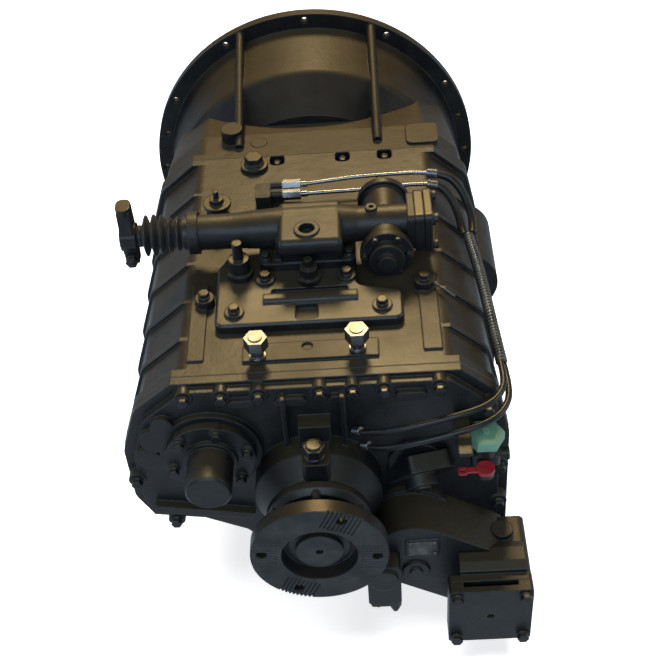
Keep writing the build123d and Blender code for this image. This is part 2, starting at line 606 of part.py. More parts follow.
with BuildPart() as air_hoses:
    # two hoses from the metal lines into the conduit, and the two that leave it
    tube([(177, -373, 209), (202, -377, 207), (224, -396, 193), (235, -420, 172), (238, -443, 161)],
         6.0, [30, 32, 32])
    tube([(177, -390, 202), (195, -394, 199), (210, -410, 186), (219, -428, 169), (221, -445, 158)],
         6.0, [30, 30, 30])
    tube([(248, -711, 144), (250, -746, 144), (230, -782, 144), (178, -798, 140), (118, -802, 128),
          (72, -792, 110), (48, -774, 96)], HOSE_R, [26, 28, 34, 50, 36])
    tube([(252, -711, 134), (256, -752, 133), (238, -794, 132), (186, -812, 127), (128, -815, 113),
          (84, -804, 92), (60, -780, 76)], HOSE_R, [26, 28, 34, 50, 36])
air_hoses.part.label = "air_hoses"
export_step(air_hoses.part, "parts/air_hoses.step")

# ==== range cylinder, piston, fork and sleeve ===========================================
SLEEVE_RANGE = 672.0       # depth of the range sleeve at rest, in low range
with BuildPart() as range_cylinder:
    disc(behind(774, RANGE_X, RANGE_Z), 60, 12)
    for place in range(6):
        angle = math.radians(60 * place + 15)
        disc(behind(774, RANGE_X + 52 * math.cos(angle), RANGE_Z + 52 * math.sin(angle)), 9, 15)
    disc(behind(784, RANGE_X, RANGE_Z), 36, 8)
    disc(behind(784, RANGE_X, RANGE_Z), 30.5, 62)
    chamfer(edges().filter_by(GeomType.CIRCLE).sort_by(Axis.Y)[0], 3)
    disc(behind(773, RANGE_X, RANGE_Z), 25, 66, mode=Mode.SUBTRACT)
range_cylinder.part.label = "range_cylinder"
export_step(range_cylinder.part, "parts/range_cylinder.step")

with BuildPart() as range_piston:
    disc(behind(812, RANGE_X, RANGE_Z), 24.6, 14)
    disc(behind(650, RANGE_X, RANGE_Z), 8, 162)
range_piston.part.label = "range_piston"
export_step(range_piston.part, "parts/range_piston.step")

REACH = math.hypot(RANGE_X, RANGE_Z)
TO_RANGE = math.degrees(math.atan2(RANGE_Z, RANGE_X))
with BuildPart() as range_fork:
    with BuildSketch(behind(SLEEVE_RANGE - 4)) as fork:
        Circle(80)
        Circle(63, mode=Mode.SUBTRACT)
        with Locations(Location((0, 0), TO_RANGE)):
            Rectangle(120, 240, align=(Align.MAX, Align.CENTER), mode=Mode.SUBTRACT)
            with Locations((REACH / 2 + 38, 0)):
                Rectangle(REACH - 76, 26)
        with Locations((RANGE_X, RANGE_Z)):
            Circle(16)
    extrude(amount=8)
    disc(behind(SLEEVE_RANGE - 14, RANGE_X, RANGE_Z), 16, 28)
    disc(behind(SLEEVE_RANGE - 15, RANGE_X, RANGE_Z), 8, 30, mode=Mode.SUBTRACT)
range_fork.part.label = "range_fork"
export_step(range_fork.part, "parts/range_fork.step")

with BuildPart() as range_sleeve:
    ring(behind(SLEEVE_RANGE - 14), 76, 56, 9)
    ring(behind(SLEEVE_RANGE - 5), 62, 56, 10)
    ring(behind(SLEEVE_RANGE + 5), 76, 56, 9)
range_sleeve.part.label = "range_sleeve"
export_step(range_sleeve.part, "parts/range_sleeve.step")

# ==== planet gears ======================================================================
with BuildPart() as ring_gear:
    with BuildSketch(behind(SUN_FACE - 2)):
        Circle(110)
        Polygon(*gear_outline(RING, RANGE_MODULE, RING_PHASE, inward=True), mode=Mode.SUBTRACT)
    extrude(amount=GEAR_DEPTH + 4)
ring_gear.part.label = "ring_gear"
export_step(ring_gear.part, "parts/ring_gear.step")

for number in range(1, PLANETS + 1):
    direction = 90 + 360 * (number - 1) / PLANETS
    centre_x = ORBIT * math.cos(math.radians(direction))
    centre_z = ORBIT * math.sin(math.radians(direction))
    with BuildPart() as planet_gear:
        with BuildSketch(behind(SUN_FACE, centre_x, centre_z)):
            Polygon(*gear_outline(PLANET, RANGE_MODULE, planet_phase(direction)))
            Circle(11 + FREE, mode=Mode.SUBTRACT)
        extrude(amount=GEAR_DEPTH)
    planet_gear.part.label = f"planet_gear_{number}"
    export_step(planet_gear.part, f"parts/planet_gear_{number}.step")

with BuildPart() as planet_carrier:
    # rear plate, pins and output shaft in one forging; front ring plate carried by the pins
    disc(behind(738), 86 - 12, 14)
    for number in range(PLANETS):
        angle = math.radians(90 + 360 * number / PLANETS)
        pin_x, pin_z = ORBIT * math.cos(angle), ORBIT * math.sin(angle)
        disc(behind(738, pin_x, pin_z), 20, 10)
        disc(behind(698, pin_x, pin_z), 11, 40)
    disc(behind(752), 40, 44)
    disc(behind(796), 32, 80)
planet_carrier.part.label = "planet_carrier"
export_step(planet_carrier.part, "parts/planet_carrier.step")

# ==== output flange =====================================================================
with BuildPart() as output_flange:
    with BuildSketch(Plane.XY):
        with BuildLine():
            Polyline((32.4, -853), (53, -853), (53, -858), (59, -862), (59, -868), (56, -872),
                     (56, -879), (90, -879), (90, -900), (50, -900), (47, -881), (32.4, -881), close=True)
        make_face()
        fillet(vertices().filter_by(lambda v: -870 < v.Y < -856 and v.X > 58), 3)
    revolve(axis=Axis.Y)
    # cross serration: grooves in four sectors between the bolt holes
    for sector in range(4):
        centre_angle = FLANGE_TILT - 35 + (0, 70, 180, 250)[sector]
        for groove in range(-4, 5):
            with BuildSketch(behind(FLANGE_FACE - 2)):
                with Locations(Location((0, 0), centre_angle)):
                    with Locations((75, groove * 5.5)):
                        Rectangle(40, 2.8)
            extrude(amount=4, mode=Mode.SUBTRACT)
    for hole_angle in (FLANGE_TILT - 35, FLANGE_TILT + 35, FLANGE_TILT + 145, FLANGE_TILT + 215):
        angle = math.radians(hole_angle)
        hole_x, hole_z = FLANGE_PCD_R * math.cos(angle), FLANGE_PCD_R * math.sin(angle)
        disc(behind(870, hole_x, hole_z), FLANGE_HOLE_R, 40, mode=Mode.SUBTRACT)
output_flange.part.label = "output_flange"
export_step(output_flange.part, "parts/output_flange.step")

with BuildPart() as flange_nut:
    disc(behind(881), 41, 3)
    disc(behind(884), 31, 9)
    disc(behind(886), 5, 10, mode=Mode.SUBTRACT)
flange_nut.part.label = "flange_nut"
export_step(flange_nut.part, "parts/flange_nut.step")

# ==== input shaft, countershaft and main shaft ==========================================
with BuildPart() as input_shaft:
    disc(behind(8), 12.5, 24)
    with BuildSketch(behind(30)) as spline:
        Circle(21)
        for tooth in range(10):
            with Locations(Location((0, 0), 36 * tooth)):
                with Locations((21, 0)):
                    Rectangle(5, 6)
    extrude(spline.sketch, amount=92)
    disc(behind(122), 24, 32)
    disc(behind(154), 34, 45)
    teeth, counter_teeth, face = PAIRS["input"]
    gear_blank(behind(face), teeth, GEAR_W, outside_mesh(TO_MAIN, 0, counter_teeth, teeth))
    disc(behind(face + GEAR_W), DOG_R, 12)
    disc(behind(200), 18, 60, mode=Mode.SUBTRACT)
input_shaft.part.label = "input_shaft"
export_step(input_shaft.part, "parts/input_shaft.step")

with BuildPart() as countershaft:
    disc(behind(168, CX, CZ), 24, 430)
    disc(behind(199, CX, CZ), 30, 390)
    for teeth, counter_teeth, face in PAIRS.values():
        gear_blank(behind(face, CX, CZ), counter_teeth, GEAR_W, 0)
    gear_blank(behind(REVERSE_FACE, CX, CZ), REVERSE_DRIVER, GEAR_W, 0)
    disc(behind(598, CX, CZ), 22, 162)
countershaft.part.label = "countershaft"
export_step(countershaft.part, "parts/countershaft.step")

MAIN_R = 28.0
with BuildPart() as main_shaft:
    disc(behind(212), 14, 40)
    disc(behind(247), MAIN_R, 420)
    for middle in (SYNC_34, SYNC_12, SYNC_R):
        disc(behind(middle - 12), HUB_R, 24)
    # range clutch hub and sun gear
    disc(behind(648), 40, 56)
    disc(behind(652), 50, 12)
    gear_blank(behind(SUN_FACE), SUN, GEAR_DEPTH, SUN_PHASE, RANGE_MODULE)
main_shaft.part.label = "main_shaft"
export_step(main_shaft.part, "parts/main_shaft.step")

# ==== loose gears of the main shaft =====================================================
DOG_SIDES = {"third": (-12, 12), "second": (GEAR_W, 12), "first": (-12, 12)}
for name in ("third", "second", "first"):
    teeth, counter_teeth, face = PAIRS[name]
    dog_start, dog_width = DOG_SIDES[name]
    with BuildPart() as loose_gear:
        gear_blank(behind(face), teeth, GEAR_W, outside_mesh(TO_MAIN, 0, counter_teeth, teeth))
        disc(behind(face + dog_start), DOG_R, dog_width)
        disc(behind(face - 20), MAIN_R + FREE, GEAR_W + 40, mode=Mode.SUBTRACT)
    loose_gear.part.label = f"{name}_gear"
    export_step(loose_gear.part, f"parts/{name}_gear.step")

with BuildPart() as reverse_gear:
    gear_blank(behind(REVERSE_FACE), REVERSE_TEETH, GEAR_W, REVERSE_PHASE)
    disc(behind(REVERSE_FACE - 12), DOG_R, 12)
    disc(behind(REVERSE_FACE - 20), MAIN_R + FREE, GEAR_W + 40, mode=Mode.SUBTRACT)
reverse_gear.part.label = "reverse_gear"
export_step(reverse_gear.part, "parts/reverse_gear.step")

with BuildPart() as reverse_idler:
    gear_blank(behind(REVERSE_FACE, IX, IZ), IDLER_TEETH, GEAR_W, IDLER_PHASE)
    disc(behind(REVERSE_FACE - 10, IX, IZ), 14 + FREE, 60, mode=Mode.SUBTRACT)
reverse_idler.part.label = "reverse_idler"
export_step(reverse_idler.part, "parts/reverse_idler.step")

# ==== sliding sleeves, forks and rails ==================================================
SLEEVES = {            # name: (depth of its middle, x of its rail, opening between the jaws)
    "3_4": (SYNC_34, 0, 15),
    "1_2": (SYNC_12, -RAIL_PITCH, 64),
    "reverse": (SYNC_R, RAIL_PITCH, 64),
}
for name, (middle, rail_x, jaw) in SLEEVES.items():
    with BuildPart() as sleeve:
        ring(behind(middle - 15), 62, HUB_R + 0.5, 10)
        ring(behind(middle - 5), 50, HUB_R + 0.5, 10)
        ring(behind(middle + 5), 62, HUB_R + 0.5, 10)
    sleeve.part.label = f"sleeve_{name}"
    export_step(sleeve.part, f"parts/sleeve_{name}.step")

    with BuildPart() as fork:
        with BuildSketch(behind(middle - 4)):
            Circle(74)
            Circle(51, mode=Mode.SUBTRACT)
            Rectangle(160, 80, align=(Align.CENTER, Align.MAX), mode=Mode.SUBTRACT)
            with Locations((0, 100)):
                Rectangle(40, 66)
        extrude(amount=8)
        disc(behind(185, rail_x, RAIL_Z), RAIL_R, 455)
        slab(behind(middle - 12, rail_x, RAIL_Z - 4), 15, 22, 24)
        for side in (-1, 1):
            horn = level(RAIL_Z, rail_x, SHIFT_DEPTH + side * (jaw / 2 + 4))
            slab(horn, 13, 8, 22)
    fork.part.label = f"rail_fork_{name}"
    export_step(fork.part, f"parts/rail_fork_{name}.step")

# ==== bearings ==========================================================================
with BuildPart() as shaft_bearings:
    ring(behind(160), 60, 34 + FREE, 20)
    ring(behind(166, CX, CZ), 46, 24 + FREE, 16)
    ring(behind(602), 55, MAIN_R + FREE, 22)
    ring(behind(602, CX, CZ), 42, 22 + FREE, 22)
    ring(behind(798), 53, 32 + FREE, 24)
shaft_bearings.part.label = "shaft_bearings"
export_step(shaft_bearings.part, "parts/shaft_bearings.step")

# ==== clutch release ====================================================================
RELEASE_X = -88.0
RELEASE_DEPTH = 96.0
with BuildPart() as guide_tube:
    ring(behind(62), 31, 26, 84)
    ring(behind(144), 74, 26, 8)
    ring(behind(152), 74, 36, 8)
guide_tube.part.label = "guide_tube"
export_step(guide_tube.part, "parts/guide_tube.step")

with BuildPart() as release_bearing:
    ring(behind(78), 56, 31 + FREE, 10)
    ring(behind(88), 40, 31 + FREE, 20)
    ring(behind(108), 50, 31 + FREE, 8)
release_bearing.part.label = "release_bearing"
export_step(release_bearing.part, "parts/release_bearing.step")

with BuildPart() as release_fork:
    disc(level(-264, RELEASE_X, RELEASE_DEPTH), 12, 340)
    # two arms reach over and under the release bearing
    for arm_z in (-54, 44):
        slab(level(arm_z, RELEASE_X + 44, RELEASE_DEPTH), 92, 12, 10)
        slab(level(arm_z, RELEASE_X, RELEASE_DEPTH), 34, 30, 10)
    disc(level(-266, RELEASE_X, RELEASE_DEPTH), 20, 14)
    slab(level(-266, RELEASE_X, RELEASE_DEPTH + 50), 22, 110, 12, rounding=8)
release_fork.part.label = "release_fork"
export_step(release_fork.part, "parts/release_fork.step")

# ==== power take-off ====================================================================
PTO_ANGLE = math.degrees(math.atan2(PTO_Z - CZ, PTO_X - CX))
PTO_TEETH = 24
PTO_CENTRES = PTO_TEETH * MODULE
GX = CX + PTO_CENTRES * math.cos(math.radians(PTO_ANGLE))
GZ = CZ + PTO_CENTRES * math.sin(math.radians(PTO_ANGLE))
PTO_GEAR_FACE = 784.0
PTO_SPACE_R = 53.0
PTO_LOBE_R = 60.0

with BuildPart() as pto_housing:
    with BuildSketch(behind(REAR_WALL)) as outline:
        with Locations((CX, CZ), (GX, GZ)):
            Circle(PTO_LOBE_R)
        with Locations(Location(((CX + GX) / 2, (CZ + GZ) / 2), PTO_ANGLE)):
            Rectangle(PTO_CENTRES, 2 * PTO_LOBE_R)
    extrude(outline.sketch, amount=PTO_FACE - REAR_WALL)
    # mounting flange and its bolt bosses on the rear wall
    disc(behind(REAR_WALL, CX, CZ), 64, 12)
    for boss_angle in (195, 235, 275):
        angle = math.radians(boss_angle)
        disc(behind(REAR_WALL, CX + 64 * math.cos(angle), CZ + 64 * math.sin(angle)), 11, 14)
    # round boss and raised field on the rear face
    disc(behind(PTO_FACE, CX + 4, CZ - 30), 19, 4)
    disc(behind(PTO_FACE, CX + 4, CZ - 30), 9, 7)
    slab(behind(PTO_FACE - 1, CX + 13, CZ + 20), 46, 34, 3, rounding=4)
    with BuildSketch(behind(REAR_WALL + 12)) as space:
        with Locations((CX, CZ), (GX, GZ)):
            Circle(PTO_SPACE_R)
        with Locations(Location(((CX + GX) / 2, (CZ + GZ) / 2), PTO_ANGLE)):
            Rectangle(PTO_CENTRES, 2 * PTO_SPACE_R)
    extrude(space.sketch, amount=PTO_FACE - REAR_WALL - 22, mode=Mode.SUBTRACT)
    disc(behind(REAR_WALL - 1, CX, CZ), 28, 20, mode=Mode.SUBTRACT)
    # opening into the output box
    slab(behind(REAR_WALL + 20, PTO_X + 40, PTO_Z), 80, 90, 90, mode=Mode.SUBTRACT)
pto_housing.part.label = "pto_housing"
export_step(pto_housing.part, "parts/pto_housing.step")

with BuildPart() as pto_box:
    slab(behind(772, PTO_X + 7, PTO_Z), PTO_PLATE - 14, PTO_PLATE, 98, rounding=10)
    # rounded shoulder on top and the thick rear flange
    with BuildSketch(facing_right(PTO_X - 40, 845, PTO_Z + PTO_PLATE / 2)) as shoulder:
        Polygon((-25, -1), (25, -1), (25, 4), (10, 12), (-12, 12), (-25, 6))
    extrude(shoulder.sketch, amount=90)
    slab(behind(870, PTO_X, PTO_Z), PTO_PLATE, PTO_PLATE, 12, rounding=6)
    disc(level(PTO_Z + 50, PTO_X + 24, 800), 15, 16)
    slab(behind(780, PTO_X, PTO_Z), PTO_PLATE - 22, PTO_PLATE - 16, 103, mode=Mode.SUBTRACT, rounding=6)
    # clear of the housing that the box is bolted to
    with BuildSketch(behind(REAR_WALL - 1)) as outline:
        with Locations((CX, CZ), (GX, GZ)):
            Circle(PTO_LOBE_R)
        with Locations(Location(((CX + GX) / 2, (CZ + GZ) / 2), PTO_ANGLE)):
            Rectangle(PTO_CENTRES, 2 * PTO_LOBE_R)
    extrude(outline.sketch, amount=PTO_FACE - REAR_WALL + 2, mode=Mode.SUBTRACT)
pto_box.part.label = "pto_box"
export_step(pto_box.part, "parts/pto_box.step")

with BuildPart() as pto_cover_plate:
    slab(behind(PTO_BOX_END, PTO_X, PTO_Z), PTO_PLATE, PTO_PLATE, PTO_PLATE_END - PTO_BOX_END, rounding=5)
    # hollow behind the plate, open at the top
    slab(behind(PTO_BOX_END - 1, PTO_X, PTO_Z + 12), 74, 96, 9, mode=Mode.SUBTRACT, rounding=4)
    disc(behind(PTO_BOX_END, PTO_X, PTO_Z), 5, 30, mode=Mode.SUBTRACT)
pto_cover_plate.part.label = "pto_cover_plate"
export_step(pto_cover_plate.part, "parts/pto_cover_plate.step")

with BuildPart() as pto_drive_gear:
    gear_blank(behind(PTO_GEAR_FACE, CX, CZ), PTO_TEETH, 28, 0)
    disc(behind(760, CX, CZ), 20, 68)
pto_drive_gear.part.label = "pto_drive_gear"
export_step(pto_drive_gear.part, "parts/pto_drive_gear.step")

with BuildPart() as pto_output_shaft:
    gear_blank(behind(PTO_GEAR_FACE, GX, GZ), PTO_TEETH, 28, outside_mesh(PTO_ANGLE, 0, PTO_TEETH, PTO_TEETH))
    disc(behind(779, GX, GZ), 20, 47)
pto_output_shaft.part.label = "pto_output_shaft"
export_step(pto_output_shaft.part, "parts/pto_output_shaft.step")

with BuildPart() as pto_shift_cylinder:
    slab(behind(PTO_FACE, 82, -118), 46, 84, 28, rounding=8)
    disc(behind(868, 82, -102), 20, 4)
    slab(level(-166, 82, 854), 40, 26, 10, rounding=4)
    # two studs with nuts under the block
    for stud_x, stud_depth in ((72, 850), (96, 858)):
        disc(level(-186, stud_x, stud_depth), 4, 22)
        with BuildSketch(level(-176, stud_x, stud_depth)) as nut:
            RegularPolygon(7.5, 6, major_radius=False)
        extrude(nut.sketch, amount=8)
pto_shift_cylinder.part.label = "pto_shift_cylinder"
export_step(pto_shift_cylinder.part, "parts/pto_shift_cylinder.step")

# inclined cover above the power take-off: diamond plate with a round end
TILT = Plane(origin=(132, -764, 26), x_dir=(1, 0, 0.35), z_dir=(0.18, -0.82, -0.52))
with BuildPart() as inclined_cover:
    with BuildSketch(TILT) as diamond:
        Polygon((-46, 0), (0, 40), (50, 14), (46, -20), (0, -38))
        fillet(vertices(), 8)
    extrude(diamond.sketch, amount=24)
    disc(TILT.offset(24), 22, 16)
    disc(TILT.offset(40), 12, 3)
    with BuildSketch(behind(REAR_WALL - 40)) as wall:
        Rectangle(700, 700)
    extrude(wall.sketch, amount=40, mode=Mode.SUBTRACT)
    # foot flat on the rear wall
    disc(behind(REAR_WALL, 132, 30), 36, 8)
    disc(behind(REAR_WALL - 2, CX, CZ), 71, 200, mode=Mode.SUBTRACT)
inclined_cover.part.label = "inclined_cover"
export_step(inclined_cover.part, "parts/inclined_cover.step")

# ==== pressure regulator with cap, dust cap and bracket =================================
REG_X, REG_DEPTH = 222.0, 788.0
with BuildPart() as regulator:
    slab(behind(REAR_WALL, 213, 62), 54, 30, 6, rounding=5)
    slab(behind(REAR_WALL, 192, 92), 18, 48, 6)
    slab(level(110, 192, 802), 18, 74, 5, rounding=3)
    slab(level(48, REG_X, REG_DEPTH - 3), 38, 36, 18, rounding=6)
    disc(level(66, REG_X, REG_DEPTH), 18, 18)
    disc(level(30, REG_X, REG_DEPTH), 14, 18)
    disc(facing_right(REG_X + 15, REG_DEPTH, 56), 7, 16)
    disc(facing_right(REG_X + 28, REG_DEPTH, 56), 9, 4)
    disc(level(50, 220, 818), 11, 8)
    slab(level(50, 220, 808), 14, 20, 8)
regulator.part.label = "regulator"
export_step(regulator.part, "parts/regulator.step")

with BuildPart() as regulator_cap:
    with BuildSketch(level(84, REG_X, REG_DEPTH)) as cap:
        RegularPolygon(21.5, 6, major_radius=False)
    extrude(cap.sketch, amount=15)
    chamfer(faces().sort_by(Axis.Z)[-1].edges(), 2)
    disc(level(99, REG_X, REG_DEPTH), 5, 4)
regulator_cap.part.label = "regulator_cap"
export_step(regulator_cap.part, "parts/regulator_cap.step")

with BuildPart() as dust_cap:
    disc(level(58, 220, 818), 12, 6)
    slab(level(60, 203, 820), 26, 8, 3, rounding=3)
    slab(level(60, 190, 821), 12, 12, 3, rounding=3)
    slab(level(59, 190, 821), 6, 5, 6, mode=Mode.SUBTRACT)
dust_cap.part.label = "dust_cap"
export_step(dust_cap.part, "parts/dust_cap.step")

# ==== speed sensor and fasteners ========================================================
with BuildPart() as speed_sensor:
    disc(level(56, 1, 815), 9, 42)
    disc(level(98, 1, 815), 14, 6)
    with BuildSketch(level(104, 1, 815)) as head:
        RegularPolygon(12.5, 6, major_radius=False)
    extrude(head.sketch, amount=15)
    disc(level(119, 1, 815), 10, 3)
speed_sensor.part.label = "speed_sensor"
export_step(speed_sensor.part, "parts/speed_sensor.step")

with BuildPart() as fasteners:
    for bolt_x, bolt_z in JOINT_BOLTS:
        hex_bolt(behind(BOSS_TOP, bolt_x, bolt_z), 13, 10, 4, 40)
    for bolt_x in POCKETS:
        hex_bolt(behind(BELL_END + 12, bolt_x, TOP_Z - 6.5), 12, 9)
    for bolt_x, bolt_depth in ((-57, 548), (57, 548), (-57, 484), (57, 484)):
        hex_bolt(level(COVER_Z + 16, bolt_x, bolt_depth), 11, 8)
    for bolt_x, bolt_depth in ((-58, 576), (52, 576), (-98, 640), (98, 640)):
        hex_bolt(level(COVER_Z + 4, bolt_x, bolt_depth), 13, 9)
    for bolt_x, bolt_depth in ((-140, 604), (160, 468), (156, 590), (-128, 462)):
        hex_bolt(level(TOP_Z + 14, bolt_x, bolt_depth), 13, 9)
    for side_y in (-1, 1):
        for side_z in (-1, 1):
            corner = facing_right(TUBE_RIGHT + 23, SHIFT_DEPTH + side_y * 25, SHIFT_Z + side_z * 22)
            hex_bolt(corner, 11, 8)
    for place in range(6):
        angle = math.radians(60 * place + 15)
        hex_bolt(behind(789, RANGE_X + 52 * math.cos(angle), RANGE_Z + 52 * math.sin(angle)), 12, 9)
        angle = math.radians(30 + 60 * place)
        hex_bolt(behind(850, 61 * math.cos(angle), 61 * math.sin(angle)), 10, 7)
        angle = math.radians(60 * place)
        hex_bolt(behind(566, VALVE_X + 30 * math.cos(angle), VALVE_Z + 30 * math.sin(angle)), 9, 6)
    for side_x in (-1, 1):
        for side_z in (-1, 1):
            corner = behind(PTO_PLATE_END, PTO_X + side_x * 46, PTO_Z + side_z * 46)
            hex_bolt(corner, 14, 10)
fasteners.part.label = "fasteners"
export_step(fasteners.part, "parts/fasteners.step")
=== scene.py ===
"""Heavy manual gearbox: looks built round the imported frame. Units are metres."""
import json
import math

import bmesh
import bpy
from mathutils import Matrix, Vector


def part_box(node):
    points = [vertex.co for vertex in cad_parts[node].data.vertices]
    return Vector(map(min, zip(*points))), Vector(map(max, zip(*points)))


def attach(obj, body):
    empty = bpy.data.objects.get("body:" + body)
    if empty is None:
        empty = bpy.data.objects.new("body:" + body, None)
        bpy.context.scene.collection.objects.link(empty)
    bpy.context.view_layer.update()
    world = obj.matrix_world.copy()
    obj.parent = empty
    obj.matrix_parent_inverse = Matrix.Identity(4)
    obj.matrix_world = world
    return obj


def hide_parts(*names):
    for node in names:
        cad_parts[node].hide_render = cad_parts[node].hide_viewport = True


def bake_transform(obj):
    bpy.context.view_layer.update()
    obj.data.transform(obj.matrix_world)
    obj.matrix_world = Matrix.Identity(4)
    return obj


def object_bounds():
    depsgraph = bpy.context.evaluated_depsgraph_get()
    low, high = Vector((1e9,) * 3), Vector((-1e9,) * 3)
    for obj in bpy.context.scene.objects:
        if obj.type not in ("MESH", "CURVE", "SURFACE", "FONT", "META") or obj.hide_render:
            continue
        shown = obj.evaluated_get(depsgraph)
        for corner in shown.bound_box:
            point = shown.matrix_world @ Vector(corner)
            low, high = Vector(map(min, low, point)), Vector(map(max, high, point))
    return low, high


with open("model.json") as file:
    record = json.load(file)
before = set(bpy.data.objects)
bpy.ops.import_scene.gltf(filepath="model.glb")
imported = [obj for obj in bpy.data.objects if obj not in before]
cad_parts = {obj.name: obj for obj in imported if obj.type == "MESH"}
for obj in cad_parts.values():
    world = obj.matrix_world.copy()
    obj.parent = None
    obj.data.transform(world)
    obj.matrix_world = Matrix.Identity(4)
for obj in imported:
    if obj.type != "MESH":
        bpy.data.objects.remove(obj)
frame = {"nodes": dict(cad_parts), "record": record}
cad_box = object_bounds()
NODES = frame["nodes"]
UP = Vector((0, 0, 1))


# ---- camera ---------------------------------------------------------------------------
CAMERA_PLACE = Vector((0.07783, -1.88449, 1.29282))
CAMERA_TURNS = (2.99, 46.54, -5.15)      # azimuth, elevation and roll, degrees
CAMERA_LENS, CAMERA_SENSOR, CAMERA_SHIFT = 68.8, 36, 0.142


def look_from():
    """Camera behind and above the gearbox, at the reference view."""
    azimuth, elevation, roll = (math.radians(turn) for turn in CAMERA_TURNS)
    forward = Vector((-math.sin(azimuth) * math.cos(elevation), math.cos(azimuth) * math.cos(elevation),
                      -math.sin(elevation)))
    right = forward.cross(UP).normalized()
    up = right.cross(forward)
    turned_right = right * math.cos(roll) + up * math.sin(roll)
    turned_up = up * math.cos(roll) - right * math.sin(roll)
    camera = bpy.data.objects.new("camera", bpy.data.cameras.new("camera"))
    bpy.context.scene.collection.objects.link(camera)
    rotation = Matrix((turned_right, turned_up, -forward)).transposed()
    camera.matrix_world = Matrix.Translation(CAMERA_PLACE) @ rotation.to_4x4()
    camera.data.lens = CAMERA_LENS
    camera.data.sensor_width = CAMERA_SENSOR
    camera.data.shift_y = CAMERA_SHIFT
    bpy.context.scene.camera = camera


look_from()


# ---- node graphs -----------------------------------------------------------------------
ROUNDED_EDGE = (0.995, 0.8)      # cosine between flat and rounded normal, from no edge to a full one


class Graph:
    """A material whose nodes are added by kind, with inputs by name."""

    def __init__(self, name):
        self.material = bpy.data.materials.new(name)
        self.material.use_nodes = True
        self.tree = self.material.node_tree
        self.shader = self.tree.nodes["Principled BSDF"]
        self.coords = self.add("ShaderNodeTexCoord").outputs["Object"]

    def add(self, kind, settings=None, **inputs):
        """A new node, with its own settings and its named inputs."""
        node = self.tree.nodes.new(kind)
        for key, value in (settings or {}).items():
            setattr(node, key, value)
        for key, value in inputs.items():
            self.put(node.inputs[key], value)
        return node

    def put(self, socket, value):
        """Links a socket to an input, or sets the input's value."""
        if isinstance(value, bpy.types.NodeSocket):
            self.tree.links.new(value, socket)
        else:
            socket.default_value = value

    def noise(self, scale, detail=4.0, rough=0.55, stretch=None):
        """Noise in object space, stretched along the axes where asked."""
        vector = self.coords
        if stretch:
            mapping = self.add("ShaderNodeMapping", Vector=self.coords, Scale=stretch)
            vector = mapping.outputs["Vector"]
        node = self.add("ShaderNodeTexNoise", Vector=vector, Scale=scale, Detail=detail, Roughness=rough)
        return node.outputs["Fac"]

    def spread(self, value, low, high, to_low=0.0, to_high=1.0):
        """Maps low to high onto to_low to to_high, clamped at both ends."""
        node = self.add("ShaderNodeMapRange", Value=value)
        for socket, number in zip(list(node.inputs)[1:5], (low, high, to_low, to_high)):
            socket.default_value = number
        return node.outputs["Result"]

    def combine(self, operation, a, b):
        node = self.add("ShaderNodeMath", {"operation": operation})
        self.put(node.inputs[0], a)
        self.put(node.inputs[1], b)
        return node.outputs["Value"]

    def mix(self, factor, a, b):
        """Colour a where factor is 0, colour b where it is 1."""
        node = self.add("ShaderNodeMix", {"data_type": "RGBA"})
        self.put(node.inputs[0], factor)
        for socket, value in ((node.inputs[6], a), (node.inputs[7], b)):
            self.put(socket, (*value, 1.0) if isinstance(value, tuple) and len(value) == 3 else value)
        return node.outputs[2]

    def edges(self, radius):
        """1 along convex and concave edges, 0 on flat areas, with the rounded normal."""
        bevel = self.add("ShaderNodeBevel", {"samples": 6}, Radius=radius).outputs["Normal"]
        plain = self.add("ShaderNodeNewGeometry").outputs["Normal"]
        dot = self.add("ShaderNodeVectorMath", {"operation": "DOT_PRODUCT"})
        self.tree.links.new(bevel, dot.inputs[0])
        self.tree.links.new(plain, dot.inputs[1])
        return self.spread(dot.outputs["Value"], *ROUNDED_EDGE), bevel

    def upward(self, low, high):
        """1 on faces that point up, 0 on the rest."""
        geometry = self.add("ShaderNodeNewGeometry").outputs["Normal"]
        parts = self.add("ShaderNodeSeparateXYZ", Vector=geometry)
        return self.spread(parts.outputs["Z"], low, high)

    def bump(self, height, strength, distance, normal=None):
        """A normal raised by height, on top of another normal if there is one."""
        node = self.add("ShaderNodeBump", Height=height, Strength=strength, Distance=distance)
        if normal is not None:
            self.tree.links.new(normal, node.inputs["Normal"])
        return node.outputs["Normal"]


# Noise of a casting's skin: scale per metre, detail, roughness.
GRIT, PITS, WAVES, CLOUD = (900.0, 3.0, 0.6), (260.0, 5.0, 0.6), (34.0, 4.0, 0.5), (9.0, 5.0, 0.6)
CAST_EDGE, METAL_EDGE, PLASTIC_EDGE = 0.0028, 0.0009, 0.0008      # edge radii, metres
# The first two colours lighten edges, partly as worn paint and partly as a painted edge highlight; the third
# is real black paint.
THIN_PAINT_AND_EDGE_HIGHLIGHT, EDGE_HIGHLIGHT_AND_WEAR, BLACK_PAINT = (0.07, 0.078, 0.088), (0.6, 0.59, 0.56), (0.012, 0.012, 0.013)


